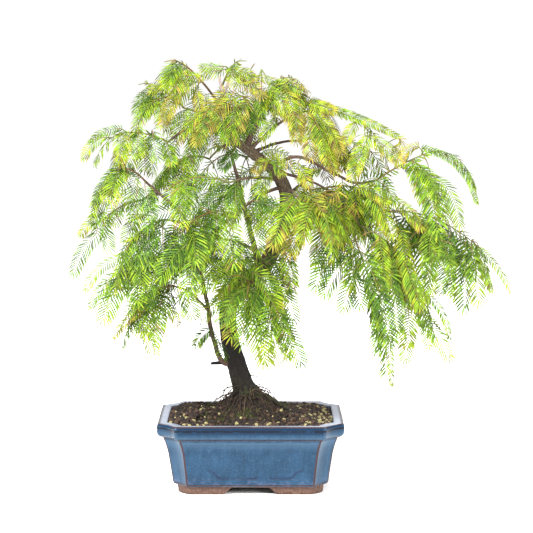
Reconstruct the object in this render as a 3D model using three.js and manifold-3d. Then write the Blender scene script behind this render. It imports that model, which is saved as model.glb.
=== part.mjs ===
// A dawn redwood grown as a bonsai, in a glazed pot with scooped corners.
//
// The tree leans out of a mound of soil, bends back over itself and carries thin boughs that
// arch out and weep on every side. Each bough ends in a mass of foliage: one stem, with twigs
// and feathery sprays fused to it by a seeded rule. Millimetres, +Z up, the pot's long side
// along X and its front towards -Y. The origin is the middle of the object's footprint box.

import * as THREE from 'three';
import { mergeVertices } from 'three/addons/utils/BufferGeometryUtils.js';
import Module from 'manifold-3d';

const wasm = await Module();
wasm.setup();

const UP = new THREE.Vector3(0, 0, 1);
const pointOf = (row) => new THREE.Vector3(row[0], row[1], row[2]);
const CLEAR = 0.3; // gap left between two pieces that meet

// ---------------------------------------------------------------- driving dimensions

const POT = {
  width: 211,
  depth: 162,
  height: 82,
  scoop: [21.5, 23], // how far a corner's scoop runs along the long side and the short side
  scoopSteps: 3,
  // The wall's outside from the floor up: height, how far it stands in from the rim, and the scoop's sag.
  profile: [
    [0, 23.5, 0.4],
    [9, 22.4, 0.6],
    [10.5, 18.8, 1],
    [13, 17.3, 1.4],
    [30, 15.2, 2],
    [47, 12.7, 2.4],
    [57, 10.1, 2.8],
    [65, 7.2, 3],
    [68, 2.2, 3.2],
    [71, 0, 3.2],
    [80.8, 0, 3.2],
    [82, 1.2, 3.2],
  ],
  // Its inside, from the cavity's floor up to the rim's inner edge.
  cavity: [
    [20, 28, 1],
    [50, 19, 1.4],
    [66, 12.3, 2.4],
    [82, 12.3, 2.4],
  ],
  footWall: 10,
  archTop: [21, 15], // half widths of the foot arches, on the long and the short sides
  archSlope: 10,
  archHeight: 8.5,
  drainRadius: 8,
  drainSpacing: 76,
};

const SOIL = {
  belowRim: 4, // where it meets the pot's wall
  padRadius: 21, // the flat place that the trunk stands on
  padHeight: 103,
  slope: 0.4, // the share of its rise that is a straight slope; the rest steepens towards the pad
  steepens: 2.4,
  rough: 0.9,
  steps: 5,
};

// The trunk's stations from the soil up: x, y, z and radius.
const TRUNK = [
  [-4.5, 0, 103.3, 16.5],
  [-8, -1, 114, 12.6],
  [-15.3, -3, 138, 10.8],
  [-24, -6, 170, 10.3],
  [-25.5, -6, 203, 9.6],
  [-14.6, -3, 226, 9.0],
  [3.7, 2, 243, 8.8],
  [19.7, 7, 259.5, 8.5],
  [32.3, 10, 284.5, 8.2],
  [39.8, 10, 311, 8.0],
  [40.3, 7, 337.6, 7.8],
  [31.1, 3, 357.3, 7.3],
  [15.2, 0, 372.3, 6.2],
  [-5.3, -3, 387.2, 5.2],
  [-20, -3, 399.6, 4.4],
  [-27.9, -1, 420, 3.4],
  [-31.3, 2, 440, 2.6],
  [-32.4, 3, 458, 1.9],
];
const TRUNK_SIDES = 11;
const TRUNK_STEPS = 25;
const FLARE = { lobes: 5, depth: 0.16, fade: 14 }; // the root flare's buttresses
const BOUGH_SIDES = 6;
const BOUGH_STEPS = 4; // of a bowed bough
const VIA_STEPS = 10; // of one that passes several points

// Each row is one bough and the mass of foliage at its end.
//   on      the limb that carries it, and where along it: 0 at its root, 1 at its tip
//   tip     where the bough ends, with its radius at root and tip; on the way it passes the points of
//           via, or else bows up by bow
//   reach   where the mass's stem ends, arch how far that stem bows up on the way
//   shoots  how many shoots leave the stem, to one side and the other in turn
//   forks   how many of them are twigs with sprays of their own; the rest are single sprays
//   spray   how long a spray is, hang how fast it turns down under its own weight
// A row with no tip has its mass on the limb itself.
const BOUGHS = [
  { name: 'left_side_upper', on: ['trunk', 0.127], tip: [-118, -35, 353], radius: [3.6, 1.5],
    via: [[-31, -8, 143], [-42, -12, 168], [-51, -16, 220], [-72, -27, 306]],
    reach: [-152, -52, 364], arch: 8, shoots: 4, forks: 2, spray: 58, hang: 1.6 },
  { name: 'left_side_lower', on: ['left_side_upper', 0.93], tip: [-122, -14, 330], bow: 3, radius: [1.6, 1.2],
    reach: [-174, -25, 302], arch: 6, shoots: 4, forks: 1, spray: 62, hang: 1.4 },
  { name: 'left_low_front', on: ['left_side_upper', 0.76], tip: [-88, -50, 310], bow: 4, radius: [1.7, 1.3],
    reach: [-130, -84, 290], arch: 8, shoots: 5, forks: 2, spray: 60, hang: 1.4 },
  { name: 'left_low_back', on: ['left_side_upper', 0.66], tip: [-88, 10, 259], bow: 5, radius: [1.8, 1.3],
    reach: [-150, 24, 250], arch: 8, shoots: 5, forks: 2, spray: 60, hang: 1.4 },
  { name: 'left_bottom', on: ['left_side_upper', 0.54], tip: [-78, -34, 232], bow: 4, radius: [1.7, 1.3],
    reach: [-122, -52, 220], arch: 8, shoots: 4, forks: 2, spray: 58, hang: 1.5 },
  { name: 'side_leader', on: ['trunk', 0.375], tip: [-22, -17, 384], bow: 0, radius: [3.6, 1.6],
    reach: [-46, -46, 388], arch: 5, shoots: 2, forks: 0, spray: 52, hang: 1.3 },
  { name: 'left_middle', on: ['trunk', 0.605], tip: [-16, -52, 316], bow: 6, radius: [2.8, 1.6],
    reach: [-70, -92, 306], arch: 10, shoots: 5, forks: 2, spray: 64, hang: 1.3 },
  { name: 'left_front', on: ['trunk', 0.62], tip: [-24, -56, 352], bow: 6, radius: [2.4, 1.5],
    reach: [-84, -98, 352], arch: 8, shoots: 4, forks: 2, spray: 58, hang: 1.3 },
  { name: 'left_inner', on: ['trunk', 0.78], tip: [-48, 34, 374], bow: 8, radius: [2.2, 1.4],
    reach: [-98, 62, 362], arch: 8, shoots: 4, forks: 1, spray: 58, hang: 1.4 },
  { name: 'left_outer', on: ['trunk', 0.8], tip: [-92, -30, 396], bow: 19, radius: [2.6, 1.7],
    reach: [-146, -42, 406], arch: 5, shoots: 5, forks: 2, spray: 54, hang: 1.5 },
  { name: 'left_upper', on: ['trunk', 0.845], tip: [-76, 15, 433], bow: 4, radius: [2.4, 1.6],
    reach: [-118, 24, 461], arch: 4, shoots: 4, forks: 2, spray: 52, hang: 1.6 },
  { name: 'top_left', on: ['trunk', 0.9], tip: [-60, -8, 469], bow: 3, radius: [2.0, 1.4],
    reach: [-86, -14, 487], arch: 3, shoots: 3, forks: 0, spray: 50, hang: 1.5 },
  { name: 'apex', on: ['trunk', 1],
    reach: [-14, -8, 486], arch: 5, shoots: 3, forks: 1, spray: 50, hang: 1.3 },
  { name: 'top_front', on: ['trunk', 0.86],
    reach: [-46, -84, 434], arch: 10, shoots: 4, forks: 1, spray: 54, hang: 1.5 },
  { name: 'fork', on: ['trunk', 0.765], tip: [19, 10, 438], bow: 3, radius: [3.4, 2.0],
    reach: [36, -8, 466], arch: 3, shoots: 4, forks: 1, spray: 54, hang: 1.5 },
  { name: 'right_top', on: ['trunk', 0.755], tip: [42, -13, 423], bow: 2, radius: [2.4, 1.6],
    reach: [128, -26, 416], arch: 12, shoots: 5, forks: 2, spray: 58, hang: 1.5 },
  { name: 'right_upper', on: ['trunk', 0.745], tip: [60, 16, 396], bow: 4, radius: [2.4, 1.6],
    reach: [134, 42, 386], arch: 8, shoots: 5, forks: 1, spray: 60, hang: 1.5 },
  { name: 'right_long', on: ['trunk', 0.68], tip: [141, -27, 353], radius: [2.6, 1.6],
    via: [[52, -14, 379], [92, -21, 361], [120, -25, 350]],
    reach: [204, -30, 386], arch: 3, shoots: 5, forks: 2, spray: 72, hang: 2.0 },
  { name: 'right_middle', on: ['trunk', 0.66], tip: [85, 22, 341], bow: 3, radius: [2.4, 1.6],
    reach: [154, 48, 326], arch: 8, shoots: 5, forks: 1, spray: 60, hang: 1.5 },
  { name: 'right_outer', on: ['trunk', 0.56], tip: [148, 28, 312], bow: 10, radius: [3.0, 1.9],
    reach: [258, 36, 277], arch: 14, shoots: 6, forks: 2, spray: 62, hang: 1.8 },
  { name: 'right_inner', on: ['right_outer', 0.62], tip: [124, 0, 300], bow: 2, radius: [1.9, 1.4],
    reach: [166, -16, 266], arch: 6, shoots: 4, forks: 1, spray: 60, hang: 1.8 },
  { name: 'right_front', on: ['trunk', 0.58], tip: [52, -46, 336], bow: 6, radius: [2.2, 1.5],
    reach: [80, -96, 322], arch: 8, shoots: 5, forks: 2, spray: 60, hang: 1.5 },
  { name: 'right_weeping', on: ['trunk', 0.5], tip: [112, -50, 300], bow: 9, radius: [2.8, 1.8],
    reach: [146, -64, 197], arch: 6, shoots: 6, forks: 2, spray: 66, hang: 1.9 },
  { name: 'right_low_back', on: ['trunk', 0.47], tip: [150, 66, 276], bow: 14, radius: [2.8, 1.7],
    reach: [206, 74, 216], arch: 12, shoots: 5, forks: 1, spray: 64, hang: 1.9 },
  { name: 'right_hanging', on: ['trunk', 0.455],
    reach: [46, 18, 252], arch: 3, shoots: 1, forks: 0, spray: 58, hang: 1.8 },
  { name: 'low_front', on: ['trunk', 0.37], tip: [-9, -46, 243], bow: 4, radius: [2.2, 1.6],
    reach: [28, -82, 216], arch: 8, shoots: 5, forks: 2, spray: 60, hang: 1.6 },
  { name: 'back_low', on: ['trunk', 0.4], tip: [-32, 76, 276], bow: 8, radius: [2.6, 1.6],
    reach: [-84, 130, 262], arch: 12, shoots: 5, forks: 2, spray: 62, hang: 1.6 },
  { name: 'back_right', on: ['trunk', 0.57], tip: [70, 82, 334], bow: 10, radius: [2.6, 1.6],
    reach: [122, 136, 306], arch: 12, shoots: 5, forks: 2, spray: 62, hang: 1.6 },
  { name: 'back_middle', on: ['trunk', 0.63], tip: [-6, 72, 374], bow: 10, radius: [2.6, 1.6],
    reach: [-60, 126, 352], arch: 12, shoots: 5, forks: 2, spray: 60, hang: 1.5 },
  { name: 'back_top', on: ['trunk', 0.82], tip: [6, 46, 432], bow: 6, radius: [2.2, 1.5],
    reach: [30, 102, 418], arch: 8, shoots: 4, forks: 1, spray: 56, hang: 1.5 },
];

// A spray: a rib with a pair of teeth at each step, long at the middle and short at both ends.
const SPRAY = {
  pitch: 11, // from one pair of teeth to the next
  needle: 15, // the longest tooth
  swell: [0.3, 0.84], // where along a half wave the teeth's lengths start and end
  lean: [0.6, 1.1], // how far a tooth leans forward, for each millimetre out, at the root and the tip
  dip: 0.1, // how far it hangs, for each millimetre out
  end: 0.6, // the pointed end, as a share of a tooth
  rib: 0.8, // half width of the rib at its widest
  thin: 0.45, // how much of that it loses towards its end
  flat: 0.4, // how high the rib's upper face stands over its path, for each millimetre of half width
  root: 0.25, // half width where it enters its parent
};
// How a shoot leaves its parent: every pair is the lowest and highest that chance gives.
const SHOOT = {
  turn: [0.75, 1.1], // away from its parent's heading, in radians
  roll: [-0.6, 0.6], // round its own heading
  pull: [0.75, 1.25], // times its row's hang
  length: [0.9, 1.1], // times its spray's length
  place: 0.4, // where between two frames of its parent it leaves
  shorter: 0.2, // how much shorter than the first the last shoot of a mass is
  tries: 5, // how many droops it tries before it is left out
};
const TWIG = {
  bare: 3, // a forked shoot's steps without teeth
  root: 0.7, // its half width at the root
  side: 0.85, // its side sprays' length, as a share of its own
};
const STEM = {
  width: 1.5, // half width at the root, at most
  end: 0.9, // its last spray's length, as a share of its row's
  roll: [-0.5, 0.5], // how far that spray is rolled round the stem
};

// The space that the whole crown keeps to: lowest and highest corner.
const REACH = new THREE.Box3(new THREE.Vector3(-204, -168, 117), new THREE.Vector3(298, 168, 490));

// The broken stub at the elbow of the left stem.
const STUB = {
  on: 'left_side_upper',
  from: [-31, -8, 143],
  heading: [-1, -0.15, -0.06],
  length: 15,
  radius: [2.4, 1.7],
};
// The root that runs out over the mound and dips into it.
const ROOT = {
  towards: [92, -46], // the point of the pot's wall that it heads for
  share: 0.42, // how much of the way there it runs
  above: [2.4, -1.4], // how far its middle stands over the soil at the start and the end
  radius: [3.4, 1.5],
  wander: 5,
  steps: 4,
};

// ---------------------------------------------------------------- seeded chance

// A number from 0 to 1 that depends only on its whole-number keys.
function chance(...keys) {
  let h = 20261;
  for (const key of keys) {
    h = Math.imul(h ^ (key + 0x9e3779b9), 0x85ebca6b);
    h ^= h >>> 13;
    h = Math.imul(h, 0xc2b2ae35);
    h ^= h >>> 16;
  }
  return (h >>> 0) / 4294967296;
}

const spread = (low, high, ...keys) => low + (high - low) * chance(...keys);

// ---------------------------------------------------------------- frames along a path

// A point of a path with its tangent t, a side vector s and the normal n between them.
function frame(point, tangent, side) {
  const t = tangent.clone().normalize();
  const s = side.clone().addScaledVector(t, -side.dot(t)).normalize();
  return { p: point.clone(), t, s, n: s.clone().cross(t) };
}

// Frames along a curve, carried from one to the next without twist. s starts level.
function framesAlong(curve, steps) {
  const frames = [];
  for (let i = 0; i <= steps; i++) {
    const t = curve.getTangent(i / steps);
    frames.push(frame(curve.getPoint(i / steps), t, i ? frames[i - 1].s : t.clone().cross(UP)));
  }
  return frames;
}

const between = (a, b, share) => a.p.clone().lerp(b.p, share);

// Frames of a shoot that starts along a heading and turns down under its own weight.
function framesDrooping(from, heading, side, length, hang, steps) {
  const frames = [frame(from, heading, side)];
  for (let i = 1; i <= steps; i++) {
    const { p, t, s } = frames[i - 1];
    const turned = t.clone().addScaledVector(UP, -hang / steps).normalize();
    frames.push(frame(p.clone().addScaledVector(turned, length / steps), turned, s));
  }
  return frames;
}

const smooth = (points) => new THREE.CatmullRomCurve3(points, false, 'centripetal');

// A curve between two points that rises above the straight line at its middle.
function bowed(from, to, rise) {
  const middle = from.clone().add(to).multiplyScalar(0.5).addScaledVector(UP, 2 * rise);
  return new THREE.QuadraticBezierCurve3(from, middle, to);
}

// ---------------------------------------------------------------- solids

function geometryOf(points, triangles) {
  const geometry = new THREE.BufferGeometry();
  geometry.setAttribute('position', new THREE.Float32BufferAttribute(points.flatMap((p) => p.toArray()), 3));
  geometry.setIndex(triangles.flat());
  return geometry;
}

function solidOf(geometry) {
  const bare = geometry.clone();
  bare.deleteAttribute('normal');
  bare.deleteAttribute('uv');
  const merged = mergeVertices(bare, 1e-3);
  const vertProperties = merged.attributes.position.array;
  const triVerts = new Uint32Array(merged.index.array);
  const solid = new wasm.Manifold(new wasm.Mesh({ numProp: 3, vertProperties, triVerts }));
  if (solid.volume() >= 0) return solid;
  return new wasm.Manifold(new wasm.Mesh({ numProp: 3, vertProperties, triVerts: triVerts.reverse() }));
}

function geometryFrom(solid) {
  const mesh = solid.getMesh();
  const points = [];
  for (let i = 0; i < mesh.numVert; i++) {
    points.push(...mesh.vertProperties.slice(i * mesh.numProp, i * mesh.numProp + 3));
  }
  const geometry = new THREE.BufferGeometry();
  geometry.setAttribute('position', new THREE.Float32BufferAttribute(points, 3));
  geometry.setIndex([...mesh.triVerts]);
  geometry.computeVertexNormals();
  return geometry;
}

// A closed loft over rings of equally many points: a cylinder whose rows of corners are moved onto them.
function loft(rings) {
  const [rows, around] = [rings.length - 1, rings[0].length];
  const geometry = new THREE.CylinderGeometry(1, 1, rows, around, rows);
  const { position } = geometry.attributes;
  for (let i = 0; i < position.count; i++) {
    const ring = rings[Math.round(position.getY(i) + rows / 2)];
    const [x, z] = [position.getX(i), position.getZ(i)];
    const middle = ring.reduce((sum, p) => sum.add(p), new THREE.Vector3()).divideScalar(around);
    const turn = Math.round((Math.atan2(z, x) / (2 * Math.PI)) * around);
    position.setXYZ(i, ...(Math.hypot(x, z) < 0.5 ? middle : ring[(turn + around) % around]));
  }
  return solidOf(geometry);
}

// A round limb along frames. radius takes the share of the way along and the angle round it.
function limb(frames, radius, sides) {
  return loft(frames.map((f, k) => Array.from({ length: sides }, (_, j) => {
    const angle = (2 * Math.PI * j) / sides;
    const r = radius(k / (frames.length - 1), angle);
    return f.p.clone().addScaledVector(f.s, r * Math.cos(angle)).addScaledVector(f.n, r * Math.sin(angle));
  })));
}

const tapered = (root, tip, extra = 0) => (u) => root + (tip - root) * u + extra;

// A three-sided shoot with a flat top. Past its bare steps its upper edges carry a tooth at each step.
function shoot(frames, bare, root, grow = 0) {
  const last = frames.length - 1;
  const widthAt = (k) => (k < bare
    ? THREE.MathUtils.lerp(root, SPRAY.rib, k / bare)
    : SPRAY.rib * (1 - SPRAY.thin * ((k - bare) / (last - bare))));
  const points = [];
  frames.forEach((f, k) => {
    const [wide, high] = [widthAt(k) + grow, SPRAY.flat * widthAt(k) + grow];
    for (const side of [1, -1]) {
      points.push(f.p.clone().addScaledVector(f.s, side * wide).addScaledVector(f.n, high));
    }
    points.push(f.p.clone().addScaledVector(f.n, -2 * high));
  });
  const triangles = [[0, 2, 1]];
  for (let k = 0; k < last; k++) {
    const [r0, l0, b0, r1, l1, b1] = [0, 1, 2, 3, 4, 5].map((i) => 3 * k + i);
    triangles.push([r0, l0, l1], [r0, l1, r1], [b0, r1, b1], [l0, b0, b1]);
    if (k < bare) {
      triangles.push([b0, r0, r1], [l0, b1, l1]);
      continue;
    }
    const along = (k - bare + 0.5) / (last - bare);
    const out = SPRAY.needle * Math.sin(Math.PI * THREE.MathUtils.lerp(...SPRAY.swell, along)) + grow;
    const ahead = out * THREE.MathUtils.lerp(...SPRAY.lean, along);
    for (const side of [1, -1]) {
      const tip = between(frames[k], frames[k + 1], SHOOT.place).addScaledVector(frames[k].s, side * out);
      points.push(tip.addScaledVector(frames[k].t, ahead).addScaledVector(UP, -SPRAY.dip * out));
    }
    const [right, left] = [points.length - 2, points.length - 1];
    triangles.push([b0, r0, right], [r0, r1, right], [r1, b0, right]);
    triangles.push([l0, b1, left], [b1, l1, left], [l1, l0, left]);
  }
  points.push(frames[last].p.clone().addScaledVector(frames[last].t, SPRAY.end * SPRAY.needle));
  const [r, l, b, end] = [3 * last, 3 * last + 1, 3 * last + 2, points.length - 1];
  triangles.push([r, l, end], [l, b, end], [b, r, end]);
  return solidOf(geometryOf(points, triangles));
}

// ---------------------------------------------------------------- the pot and its soil

// The pot's outline in plan, at a height: a rectangle whose four corners are scooped out.
function potRing([z, inset, sag]) {
  const half = [POT.width / 2 - inset, POT.depth / 2 - inset];
  const cut = POT.scoop.map((length) => length - 0.3 * inset);
  const inwards = new THREE.Vector2(cut[1], cut[0]).normalize();
  const ring = [];
  for (const [sx, sy, ahead] of [[1, 1, true], [-1, 1, false], [-1, -1, true], [1, -1, false]]) {
    for (let i = 0; i <= POT.scoopSteps; i++) {
      const u = ahead ? i / POT.scoopSteps : 1 - i / POT.scoopSteps;
      const dip = sag * 4 * u * (1 - u);
      const x = half[0] - cut[0] * u - dip * inwards.x;
      const y = half[1] - cut[1] * (1 - u) - dip * inwards.y;
      ring.push(new THREE.Vector3(sx * x, sy * y, z));
    }
  }
  return ring;
}

// A prism whose section is an arch, cut through a pair of feet.
function footArch(halfTop, along) {
  const half = halfTop + POT.archSlope;
  const shape = new THREE.Shape([
    new THREE.Vector2(-half, -1),
    new THREE.Vector2(half, -1),
    new THREE.Vector2(half, 0),
    new THREE.Vector2(halfTop, POT.archHeight),
    new THREE.Vector2(-halfTop, POT.archHeight),
    new THREE.Vector2(-half, 0),
  ]);
  const depth = 2 * POT.width;
  const geometry = new THREE.ExtrudeGeometry(shape, { depth, bevelEnabled: false });
  geometry.translate(0, 0, -depth / 2).rotateX(Math.PI / 2);
  if (along === 'x') geometry.rotateZ(Math.PI / 2);
  return solidOf(geometry);
}

function pot() {
  const [foot, lip] = [POT.profile[1], POT.cavity.at(-1)];
  const inside = [...POT.cavity, [lip[0] + 1, lip[1], lip[2]]].map(potRing);
  const under = [[-1, foot[1] + POT.footWall, 0], [foot[0], foot[1] + POT.footWall, 0]].map(potRing);
  const drains = [-1, 1].map((way) => {
    const hole = new THREE.CylinderGeometry(POT.drainRadius, POT.drainRadius, 60, 12);
    return solidOf(hole.rotateX(Math.PI / 2).translate((way * POT.drainSpacing) / 2, 0, 0));
  });
  const arches = [footArch(POT.archTop[0], 'y'), footArch(POT.archTop[1], 'x')];
  const cuts = [loft(inside), loft(under), ...arches, ...drains];
  return cuts.reduce((left, cut) => left.subtract(cut), loft(POT.profile.map(potRing)));
}

// The soil's height, at a share of the way from the pot's wall to the flat place under the trunk.
function moundHeight(u) {
  const level = POT.height - SOIL.belowRim;
  return level + (SOIL.padHeight - level) * (SOIL.slope * u + (1 - SOIL.slope) * u ** SOIL.steepens);
}

// The soil fills the pot and heaps up to the trunk.
function soil() {
  const foot = pointOf(TRUNK[0]);
  const level = moundHeight(0);
  const rings = POT.cavity.map(([z, inset, sag]) => potRing([Math.min(z + CLEAR, level), inset + CLEAR, sag]));
  const edge = rings.at(-1);
  for (let k = 1; k <= SOIL.steps; k++) {
    const u = k / SOIL.steps;
    rings.push(edge.map((p, j) => {
      const pad = foot.clone().addScaledVector(p.clone().sub(foot).setZ(0).normalize(), SOIL.padRadius);
      const rough = k === SOIL.steps ? 0 : spread(-SOIL.rough, SOIL.rough, 7, k, j);
      return p.clone().lerp(pad, u).setZ(moundHeight(u) + rough);
    }));
  }
  return loft(rings);
}

// ---------------------------------------------------------------- trunk and boughs

const obstacles = []; // every solid made so far
const limbs = new Map(); // by name: a limb's curve, its radius along it and its solid grown by CLEAR

function boxOf(solid) {
  const { min, max } = solid.boundingBox();
  return new THREE.Box3(new THREE.Vector3(...min), new THREE.Vector3(...max));
}

const meets = (others, solid) => others.some((other) => {
  other.box ??= boxOf(other.solid);
  return other.box.intersectsBox(boxOf(solid)) && other.solid.intersect(solid).volume() > 0;
});

const biggest = (solid) => solid.decompose().sort((a, b) => b.volume() - a.volume())[0];

function trunk() {
  const curve = smooth(TRUNK.map(pointOf));
  const radiusAt = (u) => {
    const at = Math.min(u * (TRUNK.length - 1), TRUNK.length - 1.001);
    const row = Math.floor(at);
    return THREE.MathUtils.lerp(TRUNK[row][3], TRUNK[row + 1][3], at - row);
  };
  const shape = (extra) => (u, angle) => {
    const flare = FLARE.depth * Math.exp(-FLARE.fade * u) * Math.cos(FLARE.lobes * angle);
    return radiusAt(u) * (1 + flare) + extra;
  };
  const frames = framesAlong(curve, TRUNK_STEPS);
  frames[0] = frame(frames[0].p, UP, frames[1].s.clone().setZ(0).normalize());
  limbs.set('trunk', { curve, radius: radiusAt, grown: limb(frames, shape(CLEAR), TRUNK_SIDES) });
  return limb(frames, shape(0), TRUNK_SIDES);
}

// One tapering limb. Its root is cut clear of the limb that carries it.
function bough(row) {
  const [name, at] = row.on;
  const parent = limbs.get(name);
  const from = parent.curve.getPoint(at);
  const tip = new THREE.Vector3(...row.tip);
  const curve = row.via ? smooth([from, ...row.via.map(pointOf), tip]) : bowed(from, tip, row.bow);
  const frames = framesAlong(curve, row.via ? VIA_STEPS : BOUGH_STEPS);
  const radius = tapered(...row.radius);
  limbs.set(row.name, { curve, radius, grown: limb(frames, tapered(...row.radius, CLEAR), BOUGH_SIDES) });
  return limb(frames, radius, BOUGH_SIDES).subtract(parent.grown);
}

// A straight piece of limb, one step long.
function stub() {
  const frames = framesDrooping(pointOf(STUB.from), pointOf(STUB.heading), UP, STUB.length, 0, 1);
  return limb(frames, tapered(...STUB.radius), BOUGH_SIDES);
}

// A root that runs out from the flare over the mound and dips into it.
function surfaceRoot(ground) {
  const foot = pointOf(TRUNK[0]);
  const wall = pointOf([...ROOT.towards, foot.z]);
  const pad = foot.clone().addScaledVector(wall.clone().sub(foot).normalize(), SOIL.padRadius);
  const points = [foot.clone().lerp(pad, 0.4).setZ(foot.z + ROOT.above[0])];
  for (let k = 0; k <= ROOT.steps; k++) {
    const way = k / ROOT.steps;
    const point = pad.clone().lerp(wall, ROOT.share * way);
    point.x += ROOT.wander * Math.sin(Math.PI * way);
    points.push(point.setZ(moundHeight(1 - ROOT.share * way) + THREE.MathUtils.lerp(...ROOT.above, way)));
  }
  const frames = framesAlong(smooth(points), 2 * ROOT.steps);
  const root = limb(frames, tapered(...ROOT.radius), BOUGH_SIDES);
  return biggest(root.subtract(ground.translate([0, 0, CLEAR])));
}

// ---------------------------------------------------------------- foliage

// Whether a shoot keeps to the crown's space and clear of every piece but its own mass's stem.
function fits(grown, stem) {
  return REACH.containsBox(boxOf(grown)) && !meets(obstacles.filter((o) => o !== stem), grown);
}

// The frames of a shoot that leaves its parent to one side and turns down.
function shootFrames(at, way, hang, steps, ...keys) {
  const turn = way * spread(...SHOOT.turn, ...keys, 1);
  const roll = spread(...SHOOT.roll, ...keys, 2);
  const heading = at.t.clone().multiplyScalar(Math.cos(turn)).addScaledVector(at.s, Math.sin(turn));
  const side = at.s.clone().multiplyScalar(Math.cos(turn)).addScaledVector(at.t, -Math.sin(turn));
  const pull = hang * spread(...SHOOT.pull, ...keys, 3);
  return framesDrooping(at.p, heading, side.applyAxisAngle(heading, roll), steps * SPRAY.pitch, pull, steps);
}

// Adds a shoot to a mass's parts: a spray, or a twig that carries a pair of sprays before its own teeth.
// A shoot that would touch another piece, or cross its own mass past its root, tries another droop.
function addShoot(parts, row, at, way, length, forked, ...keys) {
  const [bare, root] = forked ? [TWIG.bare, TWIG.root] : [1, SPRAY.root];
  const steps = Math.round((length * spread(...SHOOT.length, ...keys, 4)) / SPRAY.pitch) + bare - 1;
  for (let tries = 0; tries < SHOOT.tries; tries++) {
    const frames = shootFrames(at, way, row.hang, steps, ...keys, tries);
    if (!fits(shoot(frames, bare, root, CLEAR), parts[0])) continue;
    if (meets(parts, shoot(frames.slice(1), bare - 1, SPRAY.rib))) continue;
    parts.push({ solid: shoot(frames, bare, root) });
    if (forked) {
      const knee = { ...frames[1], p: between(frames[1], frames[2], 0.5) };
      for (const side of [1, -1]) {
        addShoot(parts, row, knee, side, length * TWIG.side, false, ...keys, 5 + side);
      }
    }
    return;
  }
  if (forked) addShoot(parts, row, at, way, length, false, ...keys);
}

// A mass's stem goes on from its bough's tip, or leaves the trunk where the row has no bough. Past its
// reach it droops and carries teeth of its own.
function massStem(row, seed) {
  const onTip = row.tip || row.on[1] === 1;
  const parent = limbs.get(row.tip ? row.name : row.on[0]);
  const heading = parent.curve.getTangent(1);
  const from = parent.curve.getPoint(onTip ? 1 : row.on[1]).addScaledVector(heading, onTip ? CLEAR : 0);
  const frames = framesAlong(bowed(from, new THREE.Vector3(...row.reach), row.arch), row.shoots + 1);
  if (onTip) frames[0] = frame(from, heading, frames[0].s);
  const [bare, tip] = [frames.length - 1, frames.at(-1)];
  const steps = Math.round((STEM.end * row.spray) / SPRAY.pitch);
  const side = tip.s.clone().applyAxisAngle(tip.t, spread(...STEM.roll, seed, 51));
  frames.push(...framesDrooping(tip.p, tip.t, side, steps * SPRAY.pitch, row.hang, steps).slice(1));
  const stem = shoot(frames, bare, Math.min(STEM.width, parent.radius(1)));
  return { frames, solid: onTip ? stem : biggest(stem.subtract(parent.grown)) };
}

// A mass of foliage: shoots leave its stem to one side and the other in turn.
function mass(row, stem, seed) {
  const parts = [stem];
  for (let k = 0; k < row.shoots; k++) {
    const way = (k + seed) % 2 ? 1 : -1;
    const at = { ...stem.frames[k + 1], p: between(stem.frames[k + 1], stem.frames[k + 2], SHOOT.place) };
    const length = row.spray * (1 - SHOOT.shorter * (k / row.shoots));
    addShoot(parts, row, at, way, length, k < row.forks, seed, k);
  }
  return biggest(wasm.Manifold.union(parts.map((part) => part.solid)));
}

// ---------------------------------------------------------------- assembly

const COLOURS = {
  pot: { color: 0x4a7ba6, roughness: 0.25 },
  soil: { color: 0x3a2c20, roughness: 0.95 },
  bark: { color: 0x46382e, roughness: 0.9 },
  foliage: { color: 0x86b23a, roughness: 0.6 },
};
const materials = {};
for (const [name, look] of Object.entries(COLOURS)) {
  materials[name] = new THREE.MeshStandardMaterial({ metalness: 0, ...look });
}

const tree = new THREE.Group();

function add(name, solid, material) {
  const mesh = new THREE.Mesh(geometryFrom(solid), materials[material]);
  mesh.name = name;
  tree.add(mesh);
  obstacles.push({ solid });
}

add('pot', pot(), 'pot');
const ground = soil();
add('soil', ground, 'soil');
add('trunk', trunk().add(surfaceRoot(ground)), 'bark');
for (const row of BOUGHS.filter((r) => r.tip)) {
  const solid = row.name === STUB.on ? bough(row).add(stub()) : bough(row);
  add('bough_' + row.name, solid, 'bark');
}
const stems = BOUGHS.map(massStem);
obstacles.push(...stems);
BOUGHS.forEach((row, seed) => add('foliage_' + row.name, mass(row, stems[seed], seed), 'foliage'));

// The origin is the middle of the whole object's box, on the floor.
const box = new THREE.Box3().setFromObject(tree);
const middle = box.getCenter(new THREE.Vector3());
tree.position.set(-middle.x, -middle.y, 0);

export default tree;
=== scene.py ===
"""Looks of a dawn redwood grown as a bonsai in a glazed pot with scooped corners.

Sizes are worked out in millimetres from the pot's middle, on the floor, and every mesh is moved to the
frame's place and scaled to metres as it is made.
"""

import math

import bmesh
import bpy
import numpy as np
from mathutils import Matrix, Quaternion, Vector, noise


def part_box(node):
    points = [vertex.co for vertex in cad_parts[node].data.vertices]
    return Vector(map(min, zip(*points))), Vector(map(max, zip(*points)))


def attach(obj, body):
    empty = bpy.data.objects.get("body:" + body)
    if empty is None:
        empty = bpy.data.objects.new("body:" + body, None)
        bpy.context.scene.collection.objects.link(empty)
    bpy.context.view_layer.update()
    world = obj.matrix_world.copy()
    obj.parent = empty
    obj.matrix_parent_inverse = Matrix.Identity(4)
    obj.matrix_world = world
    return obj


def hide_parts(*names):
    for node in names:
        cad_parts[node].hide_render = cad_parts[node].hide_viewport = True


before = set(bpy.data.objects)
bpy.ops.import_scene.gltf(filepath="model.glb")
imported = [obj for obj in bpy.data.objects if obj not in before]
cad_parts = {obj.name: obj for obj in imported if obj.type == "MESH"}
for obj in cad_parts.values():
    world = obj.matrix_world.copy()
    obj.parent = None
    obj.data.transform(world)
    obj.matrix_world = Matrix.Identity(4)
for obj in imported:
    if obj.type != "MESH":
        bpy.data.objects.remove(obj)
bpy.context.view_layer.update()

MM = 0.001
UP = Vector((0, 0, 1))
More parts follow.
